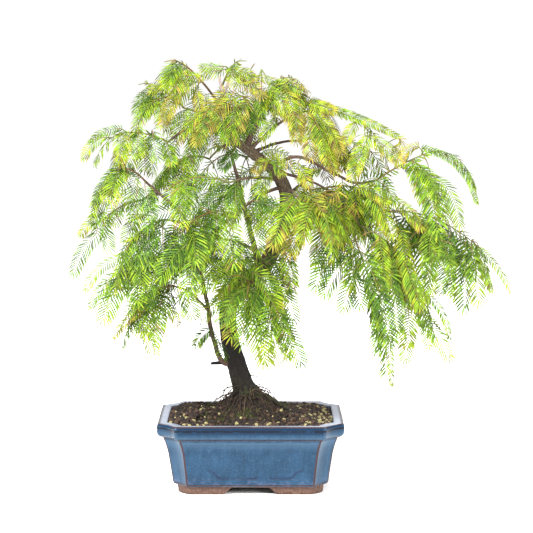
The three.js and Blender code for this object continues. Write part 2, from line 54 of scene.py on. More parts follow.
PLACE = sum(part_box("pot"), Vector()) / 2 / MM  # the pot's middle
PLACE.z = 0

# ------------------------------------------------------------------ sizes shared with the solids

# The trunk's stations from the soil up: x, y, z and radius.
TRUNK = [
    (-4.5, 0, 103.3, 16.5),
    (-8, -1, 114, 12.6),
    (-15.3, -3, 138, 10.8),
    (-24, -6, 170, 10.3),
    (-25.5, -6, 203, 9.6),
    (-14.6, -3, 226, 9.0),
    (3.7, 2, 243, 8.8),
    (19.7, 7, 259.5, 8.5),
    (32.3, 10, 284.5, 8.2),
    (39.8, 10, 311, 8.0),
    (40.3, 7, 337.6, 7.8),
    (31.1, 3, 357.3, 7.3),
    (15.2, 0, 372.3, 6.2),
    (-5.3, -3, 387.2, 5.2),
    (-20, -3, 399.6, 4.4),
    (-27.9, -1, 420, 3.4),
    (-31.3, 2, 440, 2.6),
    (-32.4, 3, 458, 1.9),
]

# Each row is one bough and the mass of foliage at its end: its name, the limb that carries it and where
# along that limb, its tip (None where the mass is on the limb itself), the points on its way or how far
# it bows up, its radius at root and tip, the end of the mass's stem and how far that stem bows up, how
# many shoots leave the stem, how many of them fork, a spray's length and how fast it turns down.
BOUGHS = [
    ("left_side_upper", "trunk", 0.127, (-118, -35, 353),
     [(-31, -8, 143), (-42, -12, 168), (-51, -16, 220), (-72, -27, 306)],
     (3.6, 1.5), (-152, -52, 364), 8, 4, 2, 58, 1.6),
    ("left_side_lower", "left_side_upper", 0.93, (-122, -14, 330), 3,
     (1.6, 1.2), (-174, -25, 302), 6, 4, 1, 62, 1.4),
    ("left_low_front", "left_side_upper", 0.76, (-88, -50, 310), 4,
     (1.7, 1.3), (-130, -84, 290), 8, 5, 2, 60, 1.4),
    ("left_low_back", "left_side_upper", 0.66, (-88, 10, 259), 5,
     (1.8, 1.3), (-150, 24, 250), 8, 5, 2, 60, 1.4),
    ("left_bottom", "left_side_upper", 0.54, (-78, -34, 232), 4,
     (1.7, 1.3), (-122, -52, 220), 8, 4, 2, 58, 1.5),
    ("side_leader", "trunk", 0.375, (-22, -17, 384), 0,
     (3.6, 1.6), (-46, -46, 388), 5, 2, 0, 52, 1.3),
    ("left_middle", "trunk", 0.605, (-16, -52, 316), 6,
     (2.8, 1.6), (-70, -92, 306), 10, 5, 2, 64, 1.3),
    ("left_front", "trunk", 0.62, (-24, -56, 352), 6,
     (2.4, 1.5), (-84, -98, 352), 8, 4, 2, 58, 1.3),
    ("left_inner", "trunk", 0.78, (-48, 34, 374), 8,
     (2.2, 1.4), (-98, 62, 362), 8, 4, 1, 58, 1.4),
    ("left_outer", "trunk", 0.8, (-92, -30, 396), 19,
     (2.6, 1.7), (-146, -42, 406), 5, 5, 2, 54, 1.5),
    ("left_upper", "trunk", 0.845, (-76, 15, 433), 4,
     (2.4, 1.6), (-118, 24, 461), 4, 4, 2, 52, 1.6),
    ("top_left", "trunk", 0.9, (-60, -8, 469), 3,
     (2, 1.4), (-86, -14, 487), 3, 3, 0, 50, 1.5),
    ("apex", "trunk", 1, None, None,
     None, (-14, -8, 486), 5, 3, 1, 50, 1.3),
    ("top_front", "trunk", 0.86, None, None,
     None, (-46, -84, 434), 10, 4, 1, 54, 1.5),
    ("fork", "trunk", 0.765, (19, 10, 438), 3,
     (3.4, 2), (36, -8, 466), 3, 4, 1, 54, 1.5),
    ("right_top", "trunk", 0.755, (42, -13, 423), 2,
     (2.4, 1.6), (128, -26, 416), 12, 5, 2, 58, 1.5),
    ("right_upper", "trunk", 0.745, (60, 16, 396), 4,
     (2.4, 1.6), (134, 42, 386), 8, 5, 1, 60, 1.5),
    ("right_long", "trunk", 0.68, (141, -27, 353), [(52, -14, 379), (92, -21, 361), (120, -25, 350)],
     (2.6, 1.6), (204, -30, 386), 3, 5, 2, 72, 2),
    ("right_middle", "trunk", 0.66, (85, 22, 341), 3,
     (2.4, 1.6), (154, 48, 326), 8, 5, 1, 60, 1.5),
    ("right_outer", "trunk", 0.56, (148, 28, 312), 10,
     (3, 1.9), (258, 36, 277), 14, 6, 2, 62, 1.8),
    ("right_inner", "right_outer", 0.62, (124, 0, 300), 2,
     (1.9, 1.4), (166, -16, 266), 6, 4, 1, 60, 1.8),
    ("right_front", "trunk", 0.58, (52, -46, 336), 6,
     (2.2, 1.5), (80, -96, 322), 8, 5, 2, 60, 1.5),
    ("right_weeping", "trunk", 0.5, (112, -50, 300), 9,
     (2.8, 1.8), (146, -64, 197), 6, 6, 2, 66, 1.9),
    ("right_low_back", "trunk", 0.47, (150, 66, 276), 14,
     (2.8, 1.7), (206, 74, 216), 12, 5, 1, 64, 1.9),
    ("right_hanging", "trunk", 0.455, None, None,
     None, (46, 18, 252), 3, 1, 0, 58, 1.8),
    ("low_front", "trunk", 0.37, (-9, -46, 243), 4,
     (2.2, 1.6), (28, -82, 216), 8, 5, 2, 60, 1.6),
    ("back_low", "trunk", 0.4, (-32, 76, 276), 8,
     (2.6, 1.6), (-84, 130, 262), 12, 5, 2, 62, 1.6),
    ("back_right", "trunk", 0.57, (70, 82, 334), 10,
     (2.6, 1.6), (122, 136, 306), 12, 5, 2, 62, 1.6),
    ("back_middle", "trunk", 0.63, (-6, 72, 374), 10,
     (2.6, 1.6), (-60, 126, 352), 12, 5, 2, 60, 1.5),
    ("back_top", "trunk", 0.82, (6, 46, 432), 6,
     (2.2, 1.5), (30, 102, 418), 8, 4, 1, 56, 1.5),
]
REACH = ((-204, -168, 117), (298, 168, 490))  # the space that all the foliage keeps to

# ------------------------------------------------------------------ seeded chance


SEED = 20261
STIR = (0x9E3779B9, 0x85EBCA6B, 0xC2B2AE35)  # large odd numbers that mix the keys well
BITS = 32


def chance(*keys):
    """A number from 0 to 1 that depends only on its whole-number keys."""
    whole = 2**BITS
    h = SEED
    for key in keys:
        h = (h ^ ((key + STIR[0]) % whole)) * STIR[1] % whole
        h ^= h >> 13
        h = h * STIR[2] % whole
        h ^= h >> 16
    return h / whole


def spread(low, high, *keys):
    """A number between two others, drawn by its keys."""
    return low + (high - low) * chance(*keys)


def mix(a, b, share):
    return a + (b - a) * share


def smoothstep(low, high, x):
    u = min(max((x - low) / (high - low), 0), 1)
    return u * u * (3 - 2 * u)


# ------------------------------------------------------------------ curves and frames


class Spline:
    """A smooth curve through points, with the knots spread by the root of their distances."""

    def __init__(self, points):
        self.points = [Vector(p[:3]) for p in points]

    def __call__(self, u):
        p, last = self.points, len(self.points) - 1
        at = min(max(u, 0), 1) * last
        i = min(int(at), last - 1)
        w = at - i
        a, b = p[i], p[i + 1]
        before = p[i - 1] if i else 2 * a - b
        after = p[i + 2] if i + 2 <= last else 2 * b - a
        d0, d1, d2 = [(q - o).length ** 0.5 for o, q in ((before, a), (a, b), (b, after))]
        t1 = ((a - before) / d0 - (b - before) / (d0 + d1) + (b - a) / d1) * d1
        t2 = ((b - a) / d1 - (after - a) / (d1 + d2) + (after - b) / d2) * d1
        return a + t1 * w + (3 * (b - a) - 2 * t1 - t2) * w * w + (2 * (a - b) + t1 + t2) * w**3


class Bow:
    """A curve between two points that rises above the straight line at its middle."""

    def __init__(self, start, end, rise):
        self.start, self.end = start, end
        self.middle = (start + end) / 2 + UP * (2 * rise)

    def __call__(self, u):
        return (1 - u) ** 2 * self.start + 2 * u * (1 - u) * self.middle + u * u * self.end


def tangent(curve, u):
    return (curve(min(u + 1e-4, 1)) - curve(max(u - 1e-4, 0))).normalized()


class Frame:
    """A point of a path, its tangent t, a side vector s and the normal n between them."""

    def __init__(self, p, t, side):
        self.p = p.copy()
        self.t = t.normalized()
        self.s = (side - self.t * side.dot(self.t)).normalized()
        self.n = self.s.cross(self.t)


def frames_along(curve, steps, low=0.0, high=1.0):
    frames = []
    for i in range(steps + 1):
        u = mix(low, high, i / steps)
        t = tangent(curve, u)
        frames.append(Frame(curve(u), t, frames[-1].s if i else t.cross(UP)))
    return frames


def frames_drooping(start, heading, side, length, hang, steps):
    """Frames of a shoot that starts along a heading and turns down under its own weight."""
    frames = [Frame(start, heading, side)]
    for _ in range(steps):
        f = frames[-1]
        t = (f.t - UP * (hang / steps)).normalized()
        frames.append(Frame(f.p + t * (length / steps), t, f.s))
    return frames


def between(frames, at):
    """The frame at a broken index along a list of frames."""
    i = min(int(at), len(frames) - 2)
    a, b, w = frames[i], frames[i + 1], at - i
    return Frame(mix(a.p, b.p, w), mix(a.t, b.t, w), mix(a.s, b.s, w))


# ------------------------------------------------------------------ meshes


def to_frame(points):
    """Points in millimetres from the pot's middle, as the frame has them in metres."""
    return (np.asarray(points, float).reshape(-1, 3) + np.array(PLACE)) * MM


def link(name, data):
    """A new object in the scene that holds the data."""
    made = bpy.data.objects.new(name, data)
    bpy.context.scene.collection.objects.link(made)
    return made


def piece(name, mesh, materials, slot, *replaced):
    """A finished piece: it rides on the plant's one body and stands for the solids it replaces."""
    made = link(name, mesh)
    for material in materials:
        mesh.materials.append(material)
    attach(made, "root")
    if replaced:
        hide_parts(*replaced)
    return made


def mesh_of(name, points, polygons, finishes=None, smooth=True):
    """A mesh from an array of points and arrays of polygons that have the same number of corners."""
    mesh = bpy.data.meshes.new(name)
    points = to_frame(points)
    loops = np.concatenate([p.ravel() for p in polygons])
    sizes = np.concatenate([np.full(len(p), p.shape[1]) for p in polygons])
    mesh.vertices.add(len(points))
    mesh.vertices.foreach_set("co", points.ravel())
    mesh.loops.add(len(loops))
    mesh.loops.foreach_set("vertex_index", loops)
    mesh.polygons.add(len(sizes))
    mesh.polygons.foreach_set("loop_start", np.concatenate([[0], np.cumsum(sizes)[:-1]]))
    mesh.update(calc_edges=True)
    if finishes is not None:
        mesh.polygons.foreach_set("material_index", finishes)
    mesh.polygons.foreach_set("use_smooth", np.full(len(sizes), smooth))
    mesh.validate()
    return mesh


def skin(rows, **marks):
    """A bmesh skin over closed rows of points, with its ends filled. Marks are values kept on its points."""
    rows = np.asarray(rows, float)
    rows = np.concatenate([rows, rows[:, :1]], axis=1)
    bm = bmesh.new()
    bmesh.ops.create_grid(bm, x_segments=rows.shape[1] - 1, y_segments=len(rows) - 1, size=1)
    for name, values in marks.items():
        values = np.asarray(values, float)
        values = np.concatenate([values, values[:, :1]], axis=1).ravel()
        layer = bm.verts.layers.float.new(name)
        for vertex, value in zip(bm.verts, values):
            vertex[layer] = value
    for vertex, point in zip(bm.verts, rows.reshape(-1, 3)):
        vertex.co = point
    bmesh.ops.remove_doubles(bm, verts=bm.verts, dist=1e-4)
    bmesh.ops.holes_fill(bm, edges=[e for e in bm.edges if e.is_boundary], sides=rows.shape[1])
    bmesh.ops.recalc_face_normals(bm, faces=bm.faces)
    return bm


def finish_bmesh(bm, name):
    """A smooth mesh of a bmesh, moved to the frame's place."""
    mesh = bpy.data.meshes.new(name)
    bmesh.ops.translate(bm, verts=bm.verts, vec=PLACE)
    bmesh.ops.scale(bm, verts=bm.verts, vec=Vector((MM, MM, MM)))
    bm.to_mesh(mesh)
    bm.free()
    mesh.polygons.foreach_set("use_smooth", np.full(len(mesh.polygons), True))
    return mesh


def point_values(mesh, **columns):
    """Keeps values on a mesh's points for its material to read."""
    for name, values in columns.items():
        attribute = mesh.attributes.new(name, "FLOAT", "POINT")
        attribute.data.foreach_set("value", np.asarray(values, np.float32))


def path_of(frames):
    return [np.array([getattr(f, part) for f in frames]) for part in ("p", "t", "s", "n")]


class Tubes:
    """Many round stems, gathered as arrays and joined in one mesh that knows its own girth."""

    def __init__(self, sides):
        turns = 2 * np.pi * np.arange(sides) / sides
        self.round = np.stack([np.cos(turns), np.sin(turns)], 1)
        self.points, self.girths, self.quads, self.caps, self.count = [], [], [], [], 0

    def add(self, path, radii, relief=None):
        """One stem along a path; relief gives a height for each of its points."""
        p, _, s, n = path_of(path) if isinstance(path, list) else path
        sides, rows = len(self.round), len(p)
        radii = np.asarray(radii, float)
        reach = radii[:, None] + (0 if relief is None else relief)
        out = self.round[:, 0, None] * s[:, None] + self.round[:, 1, None] * n[:, None]
        self.points.append((p[:, None] + out * reach[..., None]).reshape(-1, 3))
        self.girths.append(np.repeat(radii, sides))
        k, j = [a.ravel() for a in np.meshgrid(np.arange(rows - 1), np.arange(sides), indexing="ij")]
        a, b = k * sides + j, k * sides + (j + 1) % sides
        self.quads.append(np.stack([a, b, b + sides, a + sides], 1) + self.count)
        around = np.arange(sides)
        self.caps.append(np.stack([around[::-1], around + (rows - 1) * sides]) + self.count)
        self.count += rows * sides

    def mesh(self, name):
        polygons = [np.concatenate(self.quads), np.concatenate(self.caps)]
        mesh = mesh_of(name, np.concatenate(self.points), polygons)
        point_values(mesh, girth=np.concatenate(self.girths))
        return mesh


# ------------------------------------------------------------------ finishes


def tone(*rgb):
    """A colour given in 0 to 255 as seen, made linear."""
    return tuple(((c / 255 + 0.055) / 1.055) ** 2.4 if c > 10 else c / 255 / 12.92 for c in rgb) + (1,)


class Field:
    """A socket whose operators add Math nodes."""

    def __init__(self, finish, socket):
        self.finish, self.socket = finish, socket

    def math(self, operation, a, b):
        return self.finish.node("ShaderNodeMath", {"operation": operation}, {0: a, 1: b})

    def __add__(self, other):
        return self.math("ADD", self, other)

    __radd__ = __add__

    def __sub__(self, other):
        return self.math("SUBTRACT", self, other)

    def __rsub__(self, other):
        return self.math("SUBTRACT", other, self)

    def __mul__(self, other):
        return self.math("MULTIPLY", self, other)

    __rmul__ = __mul__

    def __pow__(self, other):
        return self.math("POWER", self, other)

    def ramp(self, low, high):
        """0 below low, 1 above high, smooth between."""
        settings = {"interpolation_type": "SMOOTHSTEP"}
        inputs = {"Value": self, "From Min": low, "From Max": high}
        return self.finish.node("ShaderNodeMapRange", settings, inputs)


class Finish:
    """A material and its Principled shader."""

    def __init__(self, name, **constants):
        self.material = bpy.data.materials.new(name)
        self.material.use_nodes = True
        self.tree = self.material.node_tree
        self.shader = self.tree.nodes["Principled BSDF"]
        self.set(**constants)

    def set(self, **inputs):
        for name, value in inputs.items():
            self.put(self.shader.inputs[name.replace("_", " ").title().replace("Ior", "IOR")], value)

    def put(self, socket, value):
        if isinstance(value, Field):
            self.tree.links.new(value.socket, socket)
        else:
            socket.default_value = value

    def node(self, kind, settings, inputs, output=0):
        made = self.tree.nodes.new(kind)
        for name, value in settings.items():
            setattr(made, name, value)
        for name, value in inputs.items():
            self.put(made.inputs[name], value)
        return Field(self, made.outputs[output])

    def place(self, *scale):
        """Object coordinates in millimetres, stretched by scale."""
        where = self.node("ShaderNodeTexCoord", {}, {}, "Object")
        sizes = [s / MM for s in (scale or (1, 1, 1))]
        return self.node("ShaderNodeVectorMath", {"operation": "MULTIPLY"}, {0: where, 1: sizes})

    def noise(self, size, place=None, detail=3.0, rough=0.55):
        inputs = {"Vector": place or self.place(), "Scale": 1 / size, "Detail": detail, "Roughness": rough}
        return self.node("ShaderNodeTexNoise", {}, inputs, "Fac")

    def attribute(self, name):
        return self.node("ShaderNodeAttribute", {"attribute_name": name}, {}, "Fac")

    def blend(self, share, a, b):
        return self.node("ShaderNodeMix", {"data_type": "RGBA"}, {0: share, 6: a, 7: b}, 2)

    def bump(self, height, distance, strength=1.0):
        inputs = {"Height": height, "Distance": distance * MM, "Strength": strength}
        self.set(normal=self.node("ShaderNodeBump", {}, inputs))

    def let_through(self, share, colour):
        """Mixes in light that comes through from behind."""
        through = self.node("ShaderNodeBsdfTranslucent", {}, {"Color": colour})
        shader = Field(self, self.shader.outputs[0])
        mixed = self.node("ShaderNodeMixShader", {}, {0: share, 1: shader, 2: through})
        self.put(self.tree.nodes["Material Output"].inputs["Surface"], mixed)

    def height(self):
        """How high a point stands over the floor, in millimetres."""
        return self.node("ShaderNodeSeparateXYZ", {}, {0: self.place()}, "Z")


def glaze():
    """Blue glaze that runs thin and brown on edges, pools dark on the rim and ends above the clay foot;
    painted light and a painted reflection make its scoops, the rim's corners and the rim's top paler, and
    painted shade darkens the panel's lower line and the clay under the pot.
    """
    g = Finish("blue_glaze", specular_ior_level=0.1, coat_weight=0.05, coat_roughness=0.06)
    cloud, grain = g.noise(26), g.noise(1.6, detail=5.0, rough=0.7)
    runs = g.noise(5, g.place(1, 1, 0.16), detail=4.0)
    height = g.height()
    blotches = (cloud * 0.6 + runs * 0.5).ramp(0.3, 0.8)
    neck = height.ramp(50, 63) * (1 - height.ramp(65, 68))
    lip = height.ramp(71.5, 74.5)
    # thick: paler glaze in two bands below the rim, with painted light on the scoops and a painted highlight
    # on the rim's corners.
    thick = g.attribute("fall") * (0.15 + runs * 0.4)
    streaks = g.attribute("pool") * g.noise(3.4, g.place(0.45, 0.45, 1.3), detail=4.0).ramp(0.36, 0.5)
    flecks = g.noise(7, g.place(0.6, 0.6, 1), detail=6.0, rough=0.65).ramp(0.44, 0.72)
    milky = (1 - height.ramp(12, 23)) * flecks
    # line: darker glaze along the panel's bead, with painted shade along the panel's lower edge.
    line = g.attribute("line") * g.noise(9).ramp(0.1, 0.35)
    edge = (g.attribute("edge") * 1.25 - g.noise(3.5, detail=4.0) * 0.62).ramp(0.1, 0.42)
    glazed = g.blend(blotches, tone(20, 42, 60), tone(32, 59, 82))
    for share, colour in (
        (grain.ramp(0.5, 0.8) * 0.55, tone(80, 98, 116)),
        (neck * 0.5, tone(62, 86, 108)),
        (lip * 0.9, tone(8, 33, 54)),
        (thick, tone(72, 98, 122)),
        (streaks * 0.95, tone(8, 8, 20)),
        (milky * 0.5, tone(98, 104, 134)),
        (line * 0.85, tone(26, 32, 54)),
        (edge * 0.94, tone(54, 37, 38)),
        # Painted reflection of the white sky on the rim's top, and a paler tone on the top of the inner wall.
        (g.attribute("table") * (0.55 + cloud * 0.4), tone(141, 147, 162)),
    ):
        glazed = g.blend(share, glazed, colour)
    body = g.noise(2.2, g.place(1, 1, 0.6), detail=6.0, rough=0.65).ramp(0.3, 0.7)
    clay = g.blend(body, tone(62, 44, 37), tone(96, 74, 64))
    # Painted shade: the clay under the pot and on the feet's inner faces is painted almost black, where
    # shadow falls.
    clay = g.blend(g.attribute("under"), clay, tone(16, 12, 10))
    bare = 1 - (height + g.noise(9) * 2.6).ramp(10.9, 11.6)
    g.set(base_color=g.blend(bare, glazed, clay), roughness=bare * 0.5 + edge * 0.12 + grain * 0.08 + 0.1)
    g.bump(grain * 0.25 + cloud * 0.5 + runs * 0.35, 0.5, 0.35)
    return g.material


def humus():
    """Dark crumbly earth, green in places."""
    s = Finish("humus", specular_ior_level=0.25)
    fine, coarse = s.noise(0.9, detail=5.0, rough=0.75), s.noise(7)
    earth = s.blend(fine.ramp(0.35, 0.7), tone(10, 8, 6), tone(42, 32, 23))
    s.set(base_color=s.blend(coarse.ramp(0.55, 0.75) * 0.5, earth, tone(48, 52, 26)), roughness=0.95)
    s.bump(fine, 0.9, 0.8)
    return s.material


def grain(name, dark, light, size):
    """A speckled matt finish, for grains, moss and roots."""
    s = Finish(name, specular_ior_level=0.3)
    speckle = s.noise(size, detail=4.0, rough=0.7)
    s.set(base_color=s.blend(speckle.ramp(0.35, 0.68), tone(*dark), tone(*light)), roughness=0.85)
    s.bump(speckle, 0.4, 0.6)
    return s.material


def trunk_bark():
    """Almost black and mossy at the foot, grey-brown higher up, with dark furrows and bleached dead tips."""
    b = Finish("trunk_bark", specular_ior_level=0.3)
    fibre = b.noise(1.1, b.place(1, 1, 0.14), detail=5.0, rough=0.7)
    patch, height = b.noise(11, b.place(1, 1, 0.5)), b.height()
    low = b.blend(fibre.ramp(0.35, 0.7), tone(9, 8, 6), tone(36, 30, 25))
    high = b.blend(fibre.ramp(0.3, 0.66), tone(40, 34, 26), tone(96, 82, 63))
    up = (height + patch * 40).ramp(225, 285)
    wood = b.blend(up, low, high)
    wood = b.blend(b.attribute("furrow") * (0.85 - up * 0.35), wood, tone(20, 15, 12))
    wood = b.blend(height.ramp(440, 462) * 0.8, wood, tone(186, 166, 156))
    moss = (1 - (height + patch * 30).ramp(112, 148)) * b.noise(4).ramp(0.44, 0.6)
    b.set(base_color=b.blend(moss * 0.5, wood, tone(52, 58, 24)), roughness=0.92)
    b.bump(fibre, 0.55, 0.7)
    return b.material


def bough_bark():
    """Dark and rough where a bough is thick, orange and smooth where it is young."""
    b = Finish("bough_bark", specular_ior_level=0.35)
    fibre = b.noise(0.9, detail=4.0, rough=0.7)
    old = b.blend(fibre.ramp(0.35, 0.68), tone(44, 33, 28), tone(98, 75, 61))
    young = b.blend(b.noise(20).ramp(0.4, 0.6), tone(98, 74, 38), tone(88, 102, 40))
    girth = b.attribute("girth") + b.noise(16) * 0.9
    b.set(base_color=b.blend(girth.ramp(1.35, 2.0), young, old), roughness=0.8)
    b.bump(fibre, 0.3, 0.6)
    return b.material


# ------------------------------------------------------------------ the pot

POT_HALF = (105.5, 81)
SCOOP = (21.5, 23)  # how far a scooped corner reaches along the long and the short side
SCOOP_SHRINK = 0.3  # how much shorter a scoop gets for each millimetre inwards

# From the foot's outside over the rim and down inside: height, how far in from the rim's corner, sag.
POT_LEVELS = [
    (9, 33.5, -1.4), (2, 32.6, -1.4), (0.4, 32, -1.6), (0, 31.2, -1.6), (0, 24.6, -2.4), (0.5, 23.8, -2.5),
    (2, 23.3, -2.5), (5, 23, -2.4), (8.2, 22.6, -2), (9.2, 22, -1.6), (9.7, 20.6, -0.6), (10.1, 19.4, 0.4),
    (10.9, 18.6, 1), (12, 17.9, 1.3), (13.5, 17.3, 1.5), (65, 7, 3), (65.6, 5.4, 3.1), (66.4, 3.8, 3.2),
    (66.9, 3.1, 3.2), (67.4, 2.4, 3.2), (68.8, 1.2, 3.2), (70.4, 0.5, 3.2), (72.4, 0.1, 3.2), (75, 0, 3.2),
    (75.8, 0, 3.2), (76.5, 0, 3.2), (77.2, 0, 3.2), (78, 0, 3.2), (78.8, 0, 3.2), (79.4, 0.1, 3.2),
    (80.6, 0.5, 3.2), (81.5, 1.3, 3.2), (82, 2.8, 3.1), (81.9, 5, 3), (81.7, 8, 2.7), (81.8, 9.6, 2.5),
    (81.6, 10.9, 2.4), (80.8, 11.8, 2.4), (79, 12.3, 2.4), (66, 12.3, 2.4), (50, 19, 1.4), (24, 27, 1),
    (20, 31, 1),
]
WALL = 14  # the level where the curved wall starts; it ends at the next
WALL_STEPS = 52
WALL_CURVE = [(13.5, 17.3), (30, 15.2), (47, 12.7), (57, 10.1), (62, 8.2), (65, 7)]
RIM_CURVE = [(66.4, 3.8), (68.8, 1.2), (72.4, 0), (82, 0)]
POT_STEPS = (132, 84, 12)  # along a long side, a short side and a scoop


def wall_levels():
    """The levels in order, with the wall between foot and rim filled in along its curve."""
    (low, _, sag), (high, _, upper_sag) = POT_LEVELS[WALL : WALL + 2]
    filled = []
    for z in np.linspace(low, high, WALL_STEPS + 1)[1:-1]:
        inset = np.interp([z, z - 2, z + 2], *np.array(WALL_CURVE).T).sum() / 3
        filled.append((z, inset, mix(sag, upper_sag, (z - low) / (high - low))))
    return POT_LEVELS[: WALL + 1] + filled + POT_LEVELS[WALL + 1 :]


def pot_ring(z, inset, sag, steps=POT_STEPS):
    """The pot's outline in plan, at a height: a rectangle whose four corners are scooped out."""
    hx, hy = [h - inset for h in POT_HALF]
    cx, cy = [c - SCOOP_SHRINK * inset for c in SCOOP]
    dip = Vector((cy, cx)).normalized()
    ring = []
    for sx, sy, ahead in ((1, 1, True), (-1, 1, False), (-1, -1, True), (1, -1, False)):
        for i in range(steps[2] + 1):
            u = i / steps[2] if ahead else 1 - i / steps[2]
            d = sag * 4 * u * (1 - u)
            ring.append((sx * (hx - cx * u - d * dip.x), sy * (hy - cy * (1 - u) - d * dip.y), z))
        start = ring[-1]
        end = (-start[0], start[1], z) if ahead else (start[0], -start[1], z)
        count = steps[0] if ahead else steps[1]
        ring += [tuple(mix(p, q, k / count) for p, q in zip(start, end)) for k in range(1, count)]
    return ring


# A panel in relief on the long sides: its outline's right half from the top's middle round to the bottom's.
PANEL_MIDDLE = 5
PANEL_GAP = 9.5  # how far off the middle the lower line breaks off
PANEL_LOW, PANEL_HIGH = 20.6, 54.6
PANEL_STANDS, BEAD_STANDS = 0.7, 0.5
PANEL_STEPS = 160
PANEL = [
    (0, 54.6), (38, 54.6), (44, 54.2), (48.5, 52.2), (51.5, 48.6), (53, 44), (53.6, 38), (53.4, 33),
    (52.6, 30.4), (50, 29.2), (47, 28.2), (44.6, 25.6), (42.4, 22.6), (39, 21), (34, 20.6), (14, 20.6),
    (9.5, 20.9), (7.5, 22.4),
]


def panel_lines():
    """The panel's whole outline as points in x and z, its left half a mirror of its right."""
    curve = Spline([(x, z, 0) for x, z in PANEL])
    right = np.array([tuple(curve(k / PANEL_STEPS))[:2] for k in range(PANEL_STEPS + 1)])
    lines = np.concatenate([right * (side, 1) for side in (1, -1)])
    slide = PANEL_GAP * np.clip((30 - np.abs(lines[:, 0])) / 20, 0, 1) * (lines[:, 1] < 30)
    return lines + (PANEL_MIDDLE, 0) + np.stack([slide, 0 * slide], 1)


def near_panel(x, z):
    """How far points lie from the panel's outline, and whether they lie inside it."""
    lines = panel_lines()
    gaps = np.array([np.hypot(*(lines - p).T).min() for p in zip(x, z)])
    side = lines[PANEL_STEPS::-1]
    side = side[np.maximum.accumulate(side[:, 1]) == side[:, 1]]
    reach = np.interp(z, side[:, 1], side[:, 0] - PANEL_MIDDLE)
    return gaps, (np.abs(x - PANEL_MIDDLE) < reach) & (z > PANEL_LOW) & (z < PANEL_HIGH)


def on_long_wall(x, y, z):
    """Which points lie on the flat part of the front or the back wall."""
    return np.nonzero((z > 14) & (z < 64) & (np.abs(x) < POT_HALF[0] - SCOOP[0] - 5) & (np.abs(y) > 50))[0]


def band(values, middle, width):
    """1 at the middle of a band, falling off softly to both sides."""
    return np.exp(-(((values - middle) / width) ** 2))


def shape_walls(bm):
    """Raises the panel on both long walls, with a bead round it, and lets the clay sag and swell a little."""
    bm.verts.ensure_lookup_table()
    co = np.array([v.co for v in bm.verts])
    long = on_long_wall(*co.T)
    gaps, inside = near_panel(co[long, 0], co[long, 2])
    stands = np.where(inside, 1, band(gaps, 0, 1.1)) * PANEL_STANDS + BEAD_STANDS * band(gaps, 0, 1.2)
    for i, rise in zip(long, stands):
        bm.verts[i].co.y += math.copysign(rise, co[i, 1])
    for v in bm.verts:
        swell = noise.noise(v.co * 0.03) * 0.5
        if v.co.z > 12:
            v.co.x += swell * v.co.x / POT_HALF[0]
            v.co.y += swell * v.co.y / POT_HALF[1]


def prism(outline, length, along):
    """A bar with this outline in x and z, laid along y or along x."""
    bm = bmesh.new()
    face = bm.faces.new([bm.verts.new((x, -length / 2, z)) for x, z in outline])
    out = bmesh.ops.extrude_face_region(bm, geom=[face])["geom"]
    bmesh.ops.translate(bm, verts=[g for g in out if isinstance(g, bmesh.types.BMVert)], vec=(0, length, 0))
    if along == "x":
        for v in bm.verts:
            v.co.x, v.co.y = v.co.y, v.co.x
    bmesh.ops.recalc_face_normals(bm, faces=bm.faces)
    return bm


def put_in_order(mesh):
    """Sorts a mesh's parts by place: a cut leaves the same parts, but in a different order each run."""
    bm = bmesh.new()
    bm.from_mesh(mesh)
    places = [
        (bm.verts, lambda v: v.co),
        (bm.edges, lambda e: e.verts[0].co + e.verts[1].co),
        (bm.faces, lambda f: f.calc_center_median()),
    ]
    for parts, place in places:
        for rank, part in enumerate(sorted(parts, key=lambda part: tuple(place(part)))):
            part.index = rank
        parts.sort()
    bm.to_mesh(mesh)
    bm.free()


def cut(target, cutters):
    """Cuts shapes out of an object and applies the cuts."""
    for k, bm in enumerate(cutters):
        tool = link(f"cutter_{k}", finish_bmesh(bm, f"cutter_{k}"))
        boolean = target.modifiers.new("cut", "BOOLEAN")
        boolean.operation, boolean.solver, boolean.object = "DIFFERENCE", "EXACT", tool
        graph = bpy.context.evaluated_depsgraph_get()
        mesh = bpy.data.meshes.new_from_object(target.evaluated_get(graph))
        target.modifiers.clear()
        target.data = mesh
        bpy.data.objects.remove(tool)
    put_in_order(target.data)


